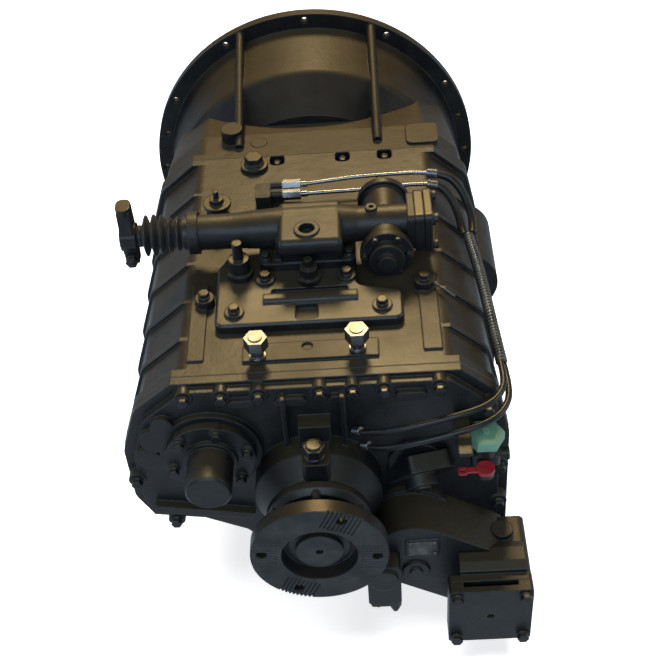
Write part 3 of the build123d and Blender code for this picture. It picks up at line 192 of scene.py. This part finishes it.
def painted_casting(name, dark, light, stain_and_top_sheen, rough=(0.36, 0.5), grain=1.0, metallic=0.0, specular=0.42):
    """Black paint over a sand casting: grain, waviness, a painted warm sheen on top faces, and edges
    lightened by worn thin paint and a painted highlight.
    """
    graph = Graph(name)
    grit, pits, waves, cloud = (graph.noise(*size) for size in (GRIT, PITS, WAVES, CLOUD))
    worn_and_highlighted_edges, bevel = graph.edges(CAST_EDGE)
    tone = graph.mix(graph.spread(waves, 0.35, 0.68), dark, light)
    # Painted warm sheen: top faces are mixed towards a tan that stands in for the key lamp's reflection.
    top = graph.combine("MULTIPLY", graph.upward(0.6, 0.95), graph.spread(cloud, 0.25, 0.75, 0.6, 1.0))
    tone = graph.mix(top, tone, stain_and_top_sheen)
    # Edges turn lighter and bluish: partly worn thin paint, partly a painted highlight of the rounded edges.
    rubbed_and_highlighted_edge = graph.combine("MULTIPLY", worn_and_highlighted_edges, graph.spread(pits, 0.42, 0.66, 0.15, 0.85))
    tone = graph.mix(rubbed_and_highlighted_edge, tone, THIN_PAINT_AND_EDGE_HIGHLIGHT)
    graph.put(graph.shader.inputs["Base Color"], tone)
    graph.shader.inputs["Metallic"].default_value = metallic
    gloss = graph.spread(cloud, 0.3, 0.7, rough[0], rough[1])
    graph.put(graph.shader.inputs["Roughness"], gloss)
    graph.shader.inputs["Specular IOR Level"].default_value = specular
    normal = graph.bump(waves, 0.35, 0.0022 * grain, bevel)
    normal = graph.bump(pits, 0.42, 0.0007 * grain, normal)
    normal = graph.bump(grit, 0.3, 0.00025 * grain, normal)
    graph.put(graph.shader.inputs["Normal"], normal)
    return graph.material


def bare_metal(name, dark, light, rough=(0.22, 0.42), stretch=(1.0, 1.0, 1.0), scale=600.0, stain_and_top_sheen=None,
               painted_left_of=None):
    """Turned or ground metal: fine tool lines along one direction, stains, and rounded edges made brighter,
    partly as wear and partly as a painted highlight.

    Where the object's x is below painted_left_of, the metal is under dull black paint."""
    graph = Graph(name)
    lines = graph.noise(scale, 3.0, 0.6, stretch)
    stain = graph.noise(45.0, 5.0, 0.6)
    worn_and_highlighted_edges, bevel = graph.edges(METAL_EDGE)
    tone = graph.mix(graph.spread(lines, 0.35, 0.65), dark, light)
    if stain_and_top_sheen:
        tone = graph.mix(graph.spread(stain, 0.42, 0.7, 0.0, 0.85), tone, stain_and_top_sheen)
    # Brighter rounded edges: partly wear, partly a painted highlight.
    tone = graph.mix(graph.combine("MULTIPLY", worn_and_highlighted_edges, 0.5), tone, EDGE_HIGHLIGHT_AND_WEAR)
    graph.shader.inputs["Metallic"].default_value = 1.0
    gloss = graph.spread(stain, 0.3, 0.7, rough[0], rough[1])
    if painted_left_of is not None:
        across = graph.add("ShaderNodeSeparateXYZ", Vector=graph.coords).outputs["X"]
        border = (painted_left_of - 0.0001, painted_left_of + 0.0001)
        bare = graph.spread(across, *border)
        duller = graph.spread(across, *border, 0.28, 0.0)
        tone = graph.mix(bare, BLACK_PAINT, tone)
        gloss = graph.combine("ADD", gloss, duller)
        graph.put(graph.shader.inputs["Metallic"], bare)
    graph.put(graph.shader.inputs["Base Color"], tone)
    graph.put(graph.shader.inputs["Roughness"], gloss)
    graph.put(graph.shader.inputs["Normal"], graph.bump(lines, 0.16, 0.00012, bevel))
    return graph.material


def soft_plastic(name, dark, light, rough=0.5, sheen=0.0, grain_scale=1500.0, stain_and_top_sheen=None, specular=0.5):
    """Moulded plastic or rubber: fine grain, faint flow tone, a painted sheen on top faces, and paler edges
    that are partly wear and partly a painted highlight.
    """
    graph = Graph(name)
    grain = graph.noise(grain_scale, 2.0, 0.5)
    cloud = graph.noise(28.0, 4.0, 0.6)
    worn_and_highlighted_edges, bevel = graph.edges(PLASTIC_EDGE)
    tone = graph.mix(graph.spread(cloud, 0.35, 0.65), dark, light)
    if stain_and_top_sheen:
        # Painted sheen: top faces are mixed towards a warm colour that stands in for the key lamp's
        # reflection.
        top = graph.combine("MULTIPLY", graph.upward(0.3, 1.0), graph.spread(cloud, 0.3, 0.7, 0.1, 0.6))
        tone = graph.mix(top, tone, stain_and_top_sheen)
    # Paler edges: partly wear, partly a painted highlight.
    pale = tuple(min(1.0, channel * 1.6 + 0.02) for channel in light)
    tone = graph.mix(graph.combine("MULTIPLY", worn_and_highlighted_edges, 0.45), tone, pale)
    graph.put(graph.shader.inputs["Base Color"], tone)
    graph.put(graph.shader.inputs["Roughness"], graph.spread(cloud, 0.3, 0.7, rough - 0.07, rough + 0.07))
    graph.shader.inputs["Specular IOR Level"].default_value = specular
    if sheen > 0:
        graph.shader.inputs["Sheen Weight"].default_value = sheen
        graph.shader.inputs["Sheen Roughness"].default_value = 0.5
    graph.put(graph.shader.inputs["Normal"], graph.bump(grain, 0.2, 0.00012, bevel))
    return graph.material


# The tan that painted castings and the rubber take on their top faces is a painted warm sheen standing in for
# the key lamp's reflection.
CAST_DARK, CAST_LIGHT = (0.007, 0.0075, 0.0085), (0.015, 0.0155, 0.016)
casting = painted_casting("casting_paint", CAST_DARK, CAST_LIGHT, (0.06, 0.045, 0.024))
# The bell's copy of the casting paint: a stronger painted top sheen and a weaker specular.
bell_paint = painted_casting("bell_paint", CAST_DARK, CAST_LIGHT, (0.085, 0.064, 0.035), specular=0.2)
machined_top = painted_casting("machined_paint", (0.010, 0.010, 0.0105), (0.018, 0.018, 0.018),
                               (0.075, 0.057, 0.031), rough=(0.32, 0.44), grain=0.45)
bolt_paint = painted_casting("bolt_paint", (0.012, 0.0125, 0.0135), (0.026, 0.026, 0.027),
                             (0.09, 0.07, 0.04), rough=(0.28, 0.42), grain=0.25, metallic=0.3)
flange_metal = painted_casting("flange_metal", (0.03, 0.032, 0.035), (0.06, 0.061, 0.062),
                               (0.055, 0.043, 0.028), rough=(0.3, 0.5), grain=0.3, metallic=0.6)
shaft_steel = bare_metal("shaft_steel", (0.36, 0.36, 0.37), (0.56, 0.55, 0.54), stretch=(1.0, 14.0, 1.0),
                         stain_and_top_sheen=(0.2, 0.15, 0.08))
gear_steel = bare_metal("gear_steel", (0.27, 0.27, 0.28), (0.46, 0.45, 0.44), rough=(0.28, 0.46),
                        stain_and_top_sheen=(0.16, 0.12, 0.06))
zinc = bare_metal("zinc_plate", (0.15, 0.162, 0.18), (0.25, 0.26, 0.27), rough=(0.3, 0.42),
                  stain_and_top_sheen=(0.18, 0.17, 0.135))
bright_tube = bare_metal("bright_tube", (0.16, 0.17, 0.19), (0.3, 0.31, 0.33), rough=(0.18, 0.32),
                         stretch=(0.2, 6.0, 6.0), painted_left_of=-0.037)
rubber = soft_plastic("black_rubber", (0.009, 0.009, 0.009), (0.016, 0.0155, 0.015), 0.5, 0.1,
                      stain_and_top_sheen=(0.05, 0.04, 0.026))
hose_rubber = soft_plastic("hose_rubber", (0.009, 0.009, 0.01), (0.016, 0.016, 0.016), 0.4, 0.0, 2200.0)
black_plastic = soft_plastic("black_plastic", (0.011, 0.011, 0.012), (0.02, 0.02, 0.021), 0.36)
# The conduit's gold top colour is a painted reflection on its ribs.
conduit_plastic = soft_plastic("conduit_plastic", (0.016, 0.015, 0.013), (0.03, 0.028, 0.023), 0.24,
                               stain_and_top_sheen=(0.5, 0.4, 0.24), specular=1.0)
green_plastic = soft_plastic("green_plastic", (0.13, 0.3, 0.19), (0.2, 0.4, 0.27), 0.42)
red_plastic = soft_plastic("red_plastic", (0.3, 0.012, 0.02), (0.42, 0.025, 0.035), 0.4)

SLOT_LOOKS = {
    "casting_black": casting, "machined_steel": shaft_steel, "gear_steel": gear_steel,
    "flange_steel": flange_metal, "bolt_black": bolt_paint, "zinc_plated": zinc, "bright_line": bright_tube,
    "black_rubber": rubber, "black_plastic": black_plastic, "green_plastic": green_plastic,
    "red_plastic": red_plastic,
}
NODE_LOOKS = {
    "bell_housing": bell_paint, "top_cover": machined_top, "shift_shaft": shaft_steel,
    "detent_plugs": bolt_paint, "filler_plug": bolt_paint, "breather": bolt_paint,
    "speed_sensor": bolt_paint, "shift_lever": bolt_paint, "turret_end_cover": bolt_paint,
}


def dress(thing, look):
    """Gives an object one material."""
    thing.data.materials.clear()
    thing.data.materials.append(look)
    return thing


for row in frame["record"]["subparts"]:
    node_name = row["node"]
    dress(NODES[node_name], NODE_LOOKS.get(node_name, SLOT_LOOKS[row["material_slot"]]))


# ---- shaping helpers ---------------------------------------------------------------------
SMOOTH_UP_TO = math.radians(35)
TIP_RADIUS = 1e-5      # a turned form ends in a tiny ring where its profile comes to the axis


def mm(*numbers):
    """A vector given in millimetres."""
    return Vector(numbers) * 0.001


def place_piece(name, data, look, body="gearbox"):
    """Links a new object, gives it its look, and lets it ride on a body, unless body is None."""
    thing = bpy.data.objects.new(name, data)
    bpy.context.scene.collection.objects.link(thing)
    dress(thing, look)
    if body:
        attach(thing, body)
    return thing


def mesh_from(name, vertices, faces):
    """A mesh with outward normals, smooth except along its sharp edges."""
    mesh = bpy.data.meshes.new(name)
    mesh.from_pydata([tuple(vertex) for vertex in vertices], [], faces)
    shape = bmesh.new()
    shape.from_mesh(mesh)
    bmesh.ops.recalc_face_normals(shape, faces=shape.faces[:])
    shape.to_mesh(mesh)
    shape.free()
    mesh.shade_smooth()
    mesh.set_sharp_from_angle(angle=SMOOTH_UP_TO)
    return mesh


def skin(rings, loop=False):
    """Vertices and faces between rings of equal length, with flat ends, or joined last to first."""
    size = len(rings[0])
    vertices = [point for ring in rings for point in ring]
    faces = []
    count = len(rings)
    for row in range(count if loop else count - 1):
        here, there = row * size, (row + 1) % count * size
        for step in range(size):
            after = (step + 1) % size
            faces.append((here + step, here + after, there + after, there + step))
    if not loop:
        faces.append(tuple(range(size - 1, -1, -1)))
        faces.append(tuple(range((count - 1) * size, count * size)))
    return vertices, faces


def circle_ring(centre, normal, radius, steps):
    """Points round a circle, started level with the ground unless the circle itself lies nearly flat."""
    normal = normal.normalized()
    aside = UP if abs(normal.z) < 0.9 else Vector((1, 0, 0))
    side = aside.cross(normal).normalized()
    other = normal.cross(side)
    return [centre + (side * math.cos(turn) + other * math.sin(turn)) * radius
            for turn in (2 * math.pi * step / steps for step in range(steps))]


def lathe(name, origin, axis, profile, steps=48):
    """A closed turned form: profile holds (distance along the axis, radius)."""
    rings = [circle_ring(origin + axis * along, axis, max(radius, TIP_RADIUS), steps)
             for along, radius in profile]
    return mesh_from(name, *skin(rings))


def spline_points(route, samples):
    """Points and directions evenly spread in parameter on a Catmull-Rom line through the route."""
    knots = [route[0] * 2 - route[1], *route, route[-1] * 2 - route[-2]]
    spans = len(route) - 1
    found = []
    for number in range(samples):
        place = spans * number / (samples - 1)
        span = min(int(place), spans - 1)
        t = place - span
        a, b, c, d = knots[span:span + 4]
        linear, square, cubic = c - a, 2 * a - 5 * b + 4 * c - d, 3 * b - a - 3 * c + d
        point = 0.5 * (2 * b + linear * t + square * t * t + cubic * t ** 3)
        slope = 0.5 * (linear + 2 * square * t + 3 * cubic * t * t)
        found.append((point, slope.normalized()))
    return found


# ---- bellows of the shift shaft ------------------------------------------------------------
SHAFT_LINE = mm(0, -515, 234)
BOOT_LEFT, BOOT_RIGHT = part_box("shift_boot")[0].x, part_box("shift_boot")[1].x
FOLDS, FOLD_STEPS, BELLOWS_STEPS = 5, 14, 72
ROOT_START, ROOT_GROWTH, CREST_LEAST, CREST_SWELL = 0.0150, 0.004, 0.0235, 0.0055      # radii
BELLOWS_WALL, SHAFT_GAP_RADIUS = 0.0022, 0.0108


def bellows():
    """Rubber bellows: rounded folds that grow towards the tube, with a thin hollow wall."""
    length = BOOT_RIGHT - BOOT_LEFT
    outer = [(0.0, 0.0135), (0.003, 0.0150), (0.006, 0.0150), (0.007, 0.0140)]
    start, end = 0.008, length - 0.009
    for number in range(FOLDS * FOLD_STEPS + 1):
        share = number / (FOLDS * FOLD_STEPS)
        wave = 0.5 - 0.5 * math.cos(2 * math.pi * share * FOLDS)
        crest = CREST_LEAST + CREST_SWELL * math.sin(math.pi * min(1.0, 0.25 + share))
        root = ROOT_START + ROOT_GROWTH * share
        outer.append((start + (end - start) * share, root + (crest - root) * wave ** 0.75))
    outer += [(length - 0.008, 0.0200), (length - 0.007, 0.0225), (length - 0.001, 0.0225), (length, 0.0215)]
    inner = [(along, max(radius - BELLOWS_WALL, SHAFT_GAP_RADIUS)) for along, radius in reversed(outer)]
    origin = Vector((BOOT_LEFT, SHAFT_LINE.y, SHAFT_LINE.z))
    axis = Vector((1, 0, 0))
    rings = [circle_ring(origin + axis * along, axis, radius, BELLOWS_STEPS)
             for along, radius in outer + inner]
    return mesh_from("shift_bellows", *skin(rings, loop=True))


boot = place_piece("shift_bellows", bellows(), rubber, body=None)
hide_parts("shift_boot")
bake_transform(boot)


# ---- corrugated conduit and hoses ------------------------------------------------------------
RIB_SHAPE = (0.0, 0.12, 0.75, 1.0, 1.0, 0.75, 0.12, 0.0)      # from root, 0, to crest, 1, along one rib


def corrugated(name, route, crest, root, pitch, steps=28):
    """A ribbed tube along a route: each rib has a flat crest and rounded flanks."""
    rough_length = sum((after - before).length for before, after in zip(route, route[1:]))
    ribs = int(rough_length / pitch)
    line = spline_points(route, ribs * len(RIB_SHAPE))
    rings = []
    for number, (point, direction) in enumerate(line):
        radius = root + (crest - root) * RIB_SHAPE[number % len(RIB_SHAPE)]
        rings.append(circle_ring(point, direction, radius, steps))
    return mesh_from(name, *skin(rings))


CONDUIT = [mm(228, -458, 157), mm(235, -520, 155), mm(240, -580, 152), mm(245, -645, 146), mm(250, -705, 140)]
CREST_RADIUS, ROOT_RADIUS, RIB_PITCH = 0.0079, 0.0058, 0.0052
conduit = place_piece("split_conduit",
                      corrugated("split_conduit", CONDUIT, CREST_RADIUS, ROOT_RADIUS, RIB_PITCH),
                      conduit_plastic)
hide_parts("corrugated_conduit")

FRONT_HOSE, REAR_HOSE = 0.0058, 0.0045      # radii in metres; the route points are in millimetres
HOSES = {
    "front_hose_upper": (FRONT_HOSE, [(177, -373, 209), (202, -376, 207), (222, -393, 194), (234, -418, 173),
                                      (236, -440, 162), (234, -456, 159)]),
    "front_hose_lower": (FRONT_HOSE, [(177, -390, 202), (194, -393, 199), (208, -408, 187), (217, -426, 170),
                                      (220, -442, 160), (222, -456, 157)]),
    "rear_hose_upper": (REAR_HOSE, [(247, -700, 143), (250, -730, 144), (245, -762, 144), (222, -786, 144),
                                    (178, -798, 140), (118, -802, 128), (76, -793, 112), (50, -775, 97)]),
    "rear_hose_lower": (REAR_HOSE, [(252, -700, 137), (256, -736, 134), (252, -772, 133), (230, -799, 131),
                                    (184, -812, 126), (128, -815, 113), (86, -805, 93), (61, -781, 77)]),
}


def hose(name, radius, corners):
    """A smooth rubber hose on a NURBS line through its route."""
    data = bpy.data.curves.new(name, "CURVE")
    data.dimensions = "3D"
    data.bevel_depth, data.bevel_resolution, data.resolution_u = radius, 6, 10
    data.use_fill_caps = True
    line = data.splines.new("NURBS")
    line.points.add(len(corners) - 1)
    for point, corner in zip(line.points, corners):
        point.co = (*mm(*corner), 1.0)
    line.order_u = 3
    line.use_endpoint_u = True
    return data


hose_pieces = [place_piece(name, hose(name, radius, route), hose_rubber)
               for name, (radius, route) in HOSES.items()]
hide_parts("air_hoses")

FERRULE_RIBS, FERRULE_PITCH = 4, 0.0034


def ferrule(name, at, along, radius):
    """A crimped hose end: a plated sleeve with raised ribs, wider than the hose's radius."""
    throat, sleeve, crest = radius * 0.7, radius * 1.25, radius * 1.36
    profile = [(0.0, throat), (0.0004, sleeve)]
    for rib in range(FERRULE_RIBS):
        start = 0.001 + rib * FERRULE_PITCH
        profile += [(start, sleeve), (start + 0.0006, crest),
                    (start + 0.0024, crest), (start + 0.003, sleeve)]
    profile += [(0.0152, sleeve), (0.0156, throat)]
    return place_piece(name, lathe(name, at, along.normalized(), profile, 32), zinc)


ferrule("hose_end_1", mm(174, -373, 209), mm(18, -3, -1), 0.0052)
ferrule("hose_end_2", mm(174, -390, 202), mm(18, -3, -2), 0.0052)
ferrule("hose_end_3", mm(62, -782, 106), mm(-14, 12, -11), 0.0046)
ferrule("hose_end_4", mm(72, -790, 86), mm(-14, 12, -11), 0.0046)


# ---- gaskets of the two main joints -------------------------------------------------------------
# The case's outline seen from behind: x and z, millimetres, clockwise from the upper left.
OUTLINE = [(-166, 180), (180, 180), (234, 132), (250, 60), (252, -120), (210, -214), (40, -224),
           (-40, -190), (-105, -112), (-165, -80), (-232, -68), (-250, -30), (-250, 60), (-226, 130)]
MACHINED_TOP = 180.0
CORNER_ROUNDING, CORNER_STEPS = 22.0, 6
GASKET_PROUD, GASKET_INSIDE, GASKET_HALF = 8.5, -2.0, 0.5


def grown_outline(grow):
    """The case outline moved outward by grow, its upper and right corners rounded, cut level on top."""
    count = len(OUTLINE)
    lines = []
    for number in range(count):
        a, b = Vector(OUTLINE[number]), Vector(OUTLINE[(number + 1) % count])
        step = (b - a).normalized()
        away = Vector((-step.y, step.x))
        lines.append((a + away * grow, step))
    corners = []
    for number in range(count):
        (p, d), (q, e) = lines[number - 1], lines[number]
        cross = d.x * e.y - d.y * e.x
        reach = ((q.x - p.x) * e.y - (q.y - p.y) * e.x) / cross
        corners.append(p + d * reach)
    points = []
    for number, corner in enumerate(corners):
        x, z = OUTLINE[number]
        radius = CORNER_ROUNDING + grow if (z > -60 or x > 100) else 0.0
        before = (corners[number - 1] - corner).normalized()
        after = (corners[(number + 1) % count] - corner).normalized()
        if radius <= 0:
            points.append(corner)
            continue
        half = before.angle(after) / 2
        reach = radius / math.tan(half)
        centre = corner + (before + after).normalized() * (radius / math.sin(half))
        start, end = corner + before * reach - centre, corner + after * reach - centre
        for step in range(CORNER_STEPS + 1):
            mixed = start.lerp(end, step / CORNER_STEPS)
            points.append(centre + mixed.normalized() * radius)
    return [Vector((p.x, min(p.y, MACHINED_TOP + 0.2 * (grow > 0)))) for p in points]


def gasket(name, depth):
    """A thin grey sheet between two castings, just proud of their rims."""
    outer, inner = grown_outline(GASKET_PROUD), grown_outline(GASKET_INSIDE)
    corners = ((inner, -GASKET_HALF), (outer, -GASKET_HALF), (outer, GASKET_HALF), (inner, GASKET_HALF))
    rings = [[mm(p.x, -depth + lift, p.y) for p in points] for points, lift in corners]
    return mesh_from(name, *skin(rings, loop=True))


gasket_paper = soft_plastic("gasket_paper", (0.05, 0.052, 0.055), (0.09, 0.09, 0.088), 0.7)
for gasket_name, gasket_depth in (("front_gasket", 265), ("rear_gasket", 740)):
    place_piece(gasket_name, gasket(gasket_name, gasket_depth), gasket_paper)


# ---- plated rod beside the valve ---------------------------------------------------------------------
ROD_PROFILE = [(0.0, 0.0026), (0.006, 0.0026), (0.007, 0.0034), (0.012, 0.0034), (0.013, 0.0020),
               (0.044, 0.0020), (0.0452, 0.0015), (0.0456, 0.0)]
ROD_AXIS = mm(31, -31, -4).normalized()
place_piece("plated_rod", lathe("plated_rod", mm(163, -588, 190), ROD_AXIS, ROD_PROFILE, 24),
            zinc)


# ---- blank plate on the power take-off -------------------------------------------------------------
EDGE_SEGMENTS = 3


def rounded_box(name, centre, size, radius):
    """A box with rounded edges."""
    shape = bmesh.new()
    bmesh.ops.create_cube(shape, size=1.0)
    for vertex in shape.verts:
        vertex.co = Vector((vertex.co.x * size.x, vertex.co.y * size.y, vertex.co.z * size.z)) + centre
    bmesh.ops.bevel(shape, geom=shape.edges[:], offset=radius, segments=EDGE_SEGMENTS, profile=0.5,
                    affect="EDGES")
    mesh = bpy.data.meshes.new(name)
    shape.to_mesh(mesh)
    shape.free()
    for polygon in mesh.polygons:
        polygon.use_smooth = True
    return mesh


plate_metal = bare_metal("plate_metal", (0.1, 0.1, 0.1), (0.2, 0.2, 0.2), rough=(0.4, 0.55), scale=900.0,
                         stain_and_top_sheen=(0.05, 0.045, 0.035))
PLATE_X, PLATE_Y, PLATE_Z, RIVET_Y = 136, -842.4, -69.3, -842.6      # millimetres
RIVET_HEAD = [(0.0, 0.0017), (0.0006, 0.0017), (0.0011, 0.0012), (0.0013, 0.0)]
BACKWARD = Vector((0, -1, 0))
place_piece("type_plate", rounded_box("type_plate", mm(PLATE_X, PLATE_Y, PLATE_Z), mm(40, 1.0, 28), 0.0004),
            plate_metal)
for rivet, (across, up) in enumerate(((-17, -11), (17, -11), (17, 11), (-17, 11))):
    rivet_name = f"plate_rivet_{rivet + 1}"
    head = lathe(rivet_name, mm(PLATE_X + across, RIVET_Y, PLATE_Z + up), BACKWARD, RIVET_HEAD, 16)
    place_piece(rivet_name, head, zinc)


# ---- floor, light, world ----------------------------------------------------------------
LOWER_SKY = (0.5, 0.58, 0.66)
UPPER_SKY = (0.055, 0.058, 0.062)
HORIZON_BAND = 0.12      # height over which the lower sky turns into the upper
BACKDROP = (0.93, 0.94, 0.95)
FLOOR_REACH, FLOOR_GAP, FLOOR_GLOW = 60.0, 0.001, 0.8
# A warm overhead softbox in front of the object, a cool fill behind the camera, two soft sides and the
# floor's own light: name, place, width, height, power in watts, colour and receivers.
LAMPS = (
    ("key", (0.1, 2.7, 3.9), 1.3, 1.1, 168.0, (1.0, 0.74, 0.36), "no_floor"),
    ("fill", (-0.3, -3.3, 2.4), 3.2, 1.6, 64.0, (0.62, 0.81, 1.0), "no_floor"),
    ("right", (2.4, -0.6, 1.2), 1.2, 1.6, 14.0, (1.0, 0.92, 0.8), "no_floor"),
    ("left", (-2.4, -0.5, 1.1), 1.2, 1.6, 14.0, (0.85, 0.93, 1.0), "no_floor"),
    ("paper", (0.0, -0.4, 4.0), 4.0, 4.0, 400.0, (1.0, 1.0, 1.0), "floor_only"),
)
LAMPS_AIM = Vector((0.0, -0.45, 0.05))


def pale_floor():
    """A glowing paper floor just under the object, left out of its reflections."""
    floor_mesh = bpy.data.meshes.new("floor")
    reach, level = FLOOR_REACH, cad_box[0].z - FLOOR_GAP
    corners = [(-reach, -reach, level), (reach, -reach, level), (reach, reach, level), (-reach, reach, level)]
    floor_mesh.from_pydata(corners, [], [(0, 1, 2, 3)])
    floor = bpy.data.objects.new("floor", floor_mesh)
    bpy.context.scene.collection.objects.link(floor)
    graph = Graph("floor_paper")
    tone = graph.mix(graph.noise(3.0), (0.86, 0.86, 0.85), (0.9, 0.9, 0.89))
    graph.put(graph.shader.inputs["Base Color"], tone)
    graph.shader.inputs["Roughness"].default_value = 0.8
    graph.shader.inputs["Emission Color"].default_value = (0.97, 0.98, 1.0, 1.0)
    graph.shader.inputs["Emission Strength"].default_value = FLOOR_GLOW
    dress(floor, graph.material)
    floor.visible_glossy = floor.visible_diffuse = False
    return floor


def lamps(floor):
    """Lights as listed, each held to the floor alone or to all but the floor."""
    receivers = {name: bpy.data.collections.new(name) for name in ("floor_only", "no_floor")}
    for group in receivers.values():
        group.objects.link(floor)
    receivers["no_floor"].collection_objects[0].light_linking.link_state = "EXCLUDE"
    for name, place, width, height, power, colour, receiver in LAMPS:
        data = bpy.data.lights.new(name, "AREA")
        data.shape, data.size, data.size_y = "RECTANGLE", width, height
        data.energy, data.color = power, colour
        lamp = bpy.data.objects.new(name, data)
        bpy.context.scene.collection.objects.link(lamp)
        lamp.light_linking.receiver_collection = receivers[receiver]
        lamp.location = place
        lamp.rotation_mode = "QUATERNION"
        lamp.rotation_quaternion = (LAMPS_AIM - Vector(place)).to_track_quat("-Z", "Y")


def sky():
    """Pale light from below the horizon, near dark above it, and a pale backdrop for the camera."""
    world = bpy.data.worlds.new("studio")
    world.use_nodes = True
    tree = world.node_tree
    split = tree.nodes.new("ShaderNodeSeparateXYZ")
    tree.links.new(tree.nodes.new("ShaderNodeTexCoord").outputs["Generated"], split.inputs["Vector"])
    ramp = tree.nodes.new("ShaderNodeValToRGB")
    low, high = ramp.color_ramp.elements
    low.position, low.color = 0.0, (*LOWER_SKY, 1.0)
    high.position, high.color = HORIZON_BAND, (*UPPER_SKY, 1.0)
    tree.links.new(split.outputs["Z"], ramp.inputs["Fac"])
    backdrop = tree.nodes.new("ShaderNodeMix")
    backdrop.data_type = "RGBA"
    backdrop.inputs[7].default_value = (*BACKDROP, 1.0)
    tree.links.new(tree.nodes.new("ShaderNodeLightPath").outputs["Is Camera Ray"], backdrop.inputs[0])
    tree.links.new(ramp.outputs["Color"], backdrop.inputs[6])
    tree.links.new(backdrop.outputs[2], tree.nodes["Background"].inputs["Color"])
    bpy.context.scene.world = world


lamps(pale_floor())
sky()
bpy.context.scene.view_settings.view_transform = "Standard"
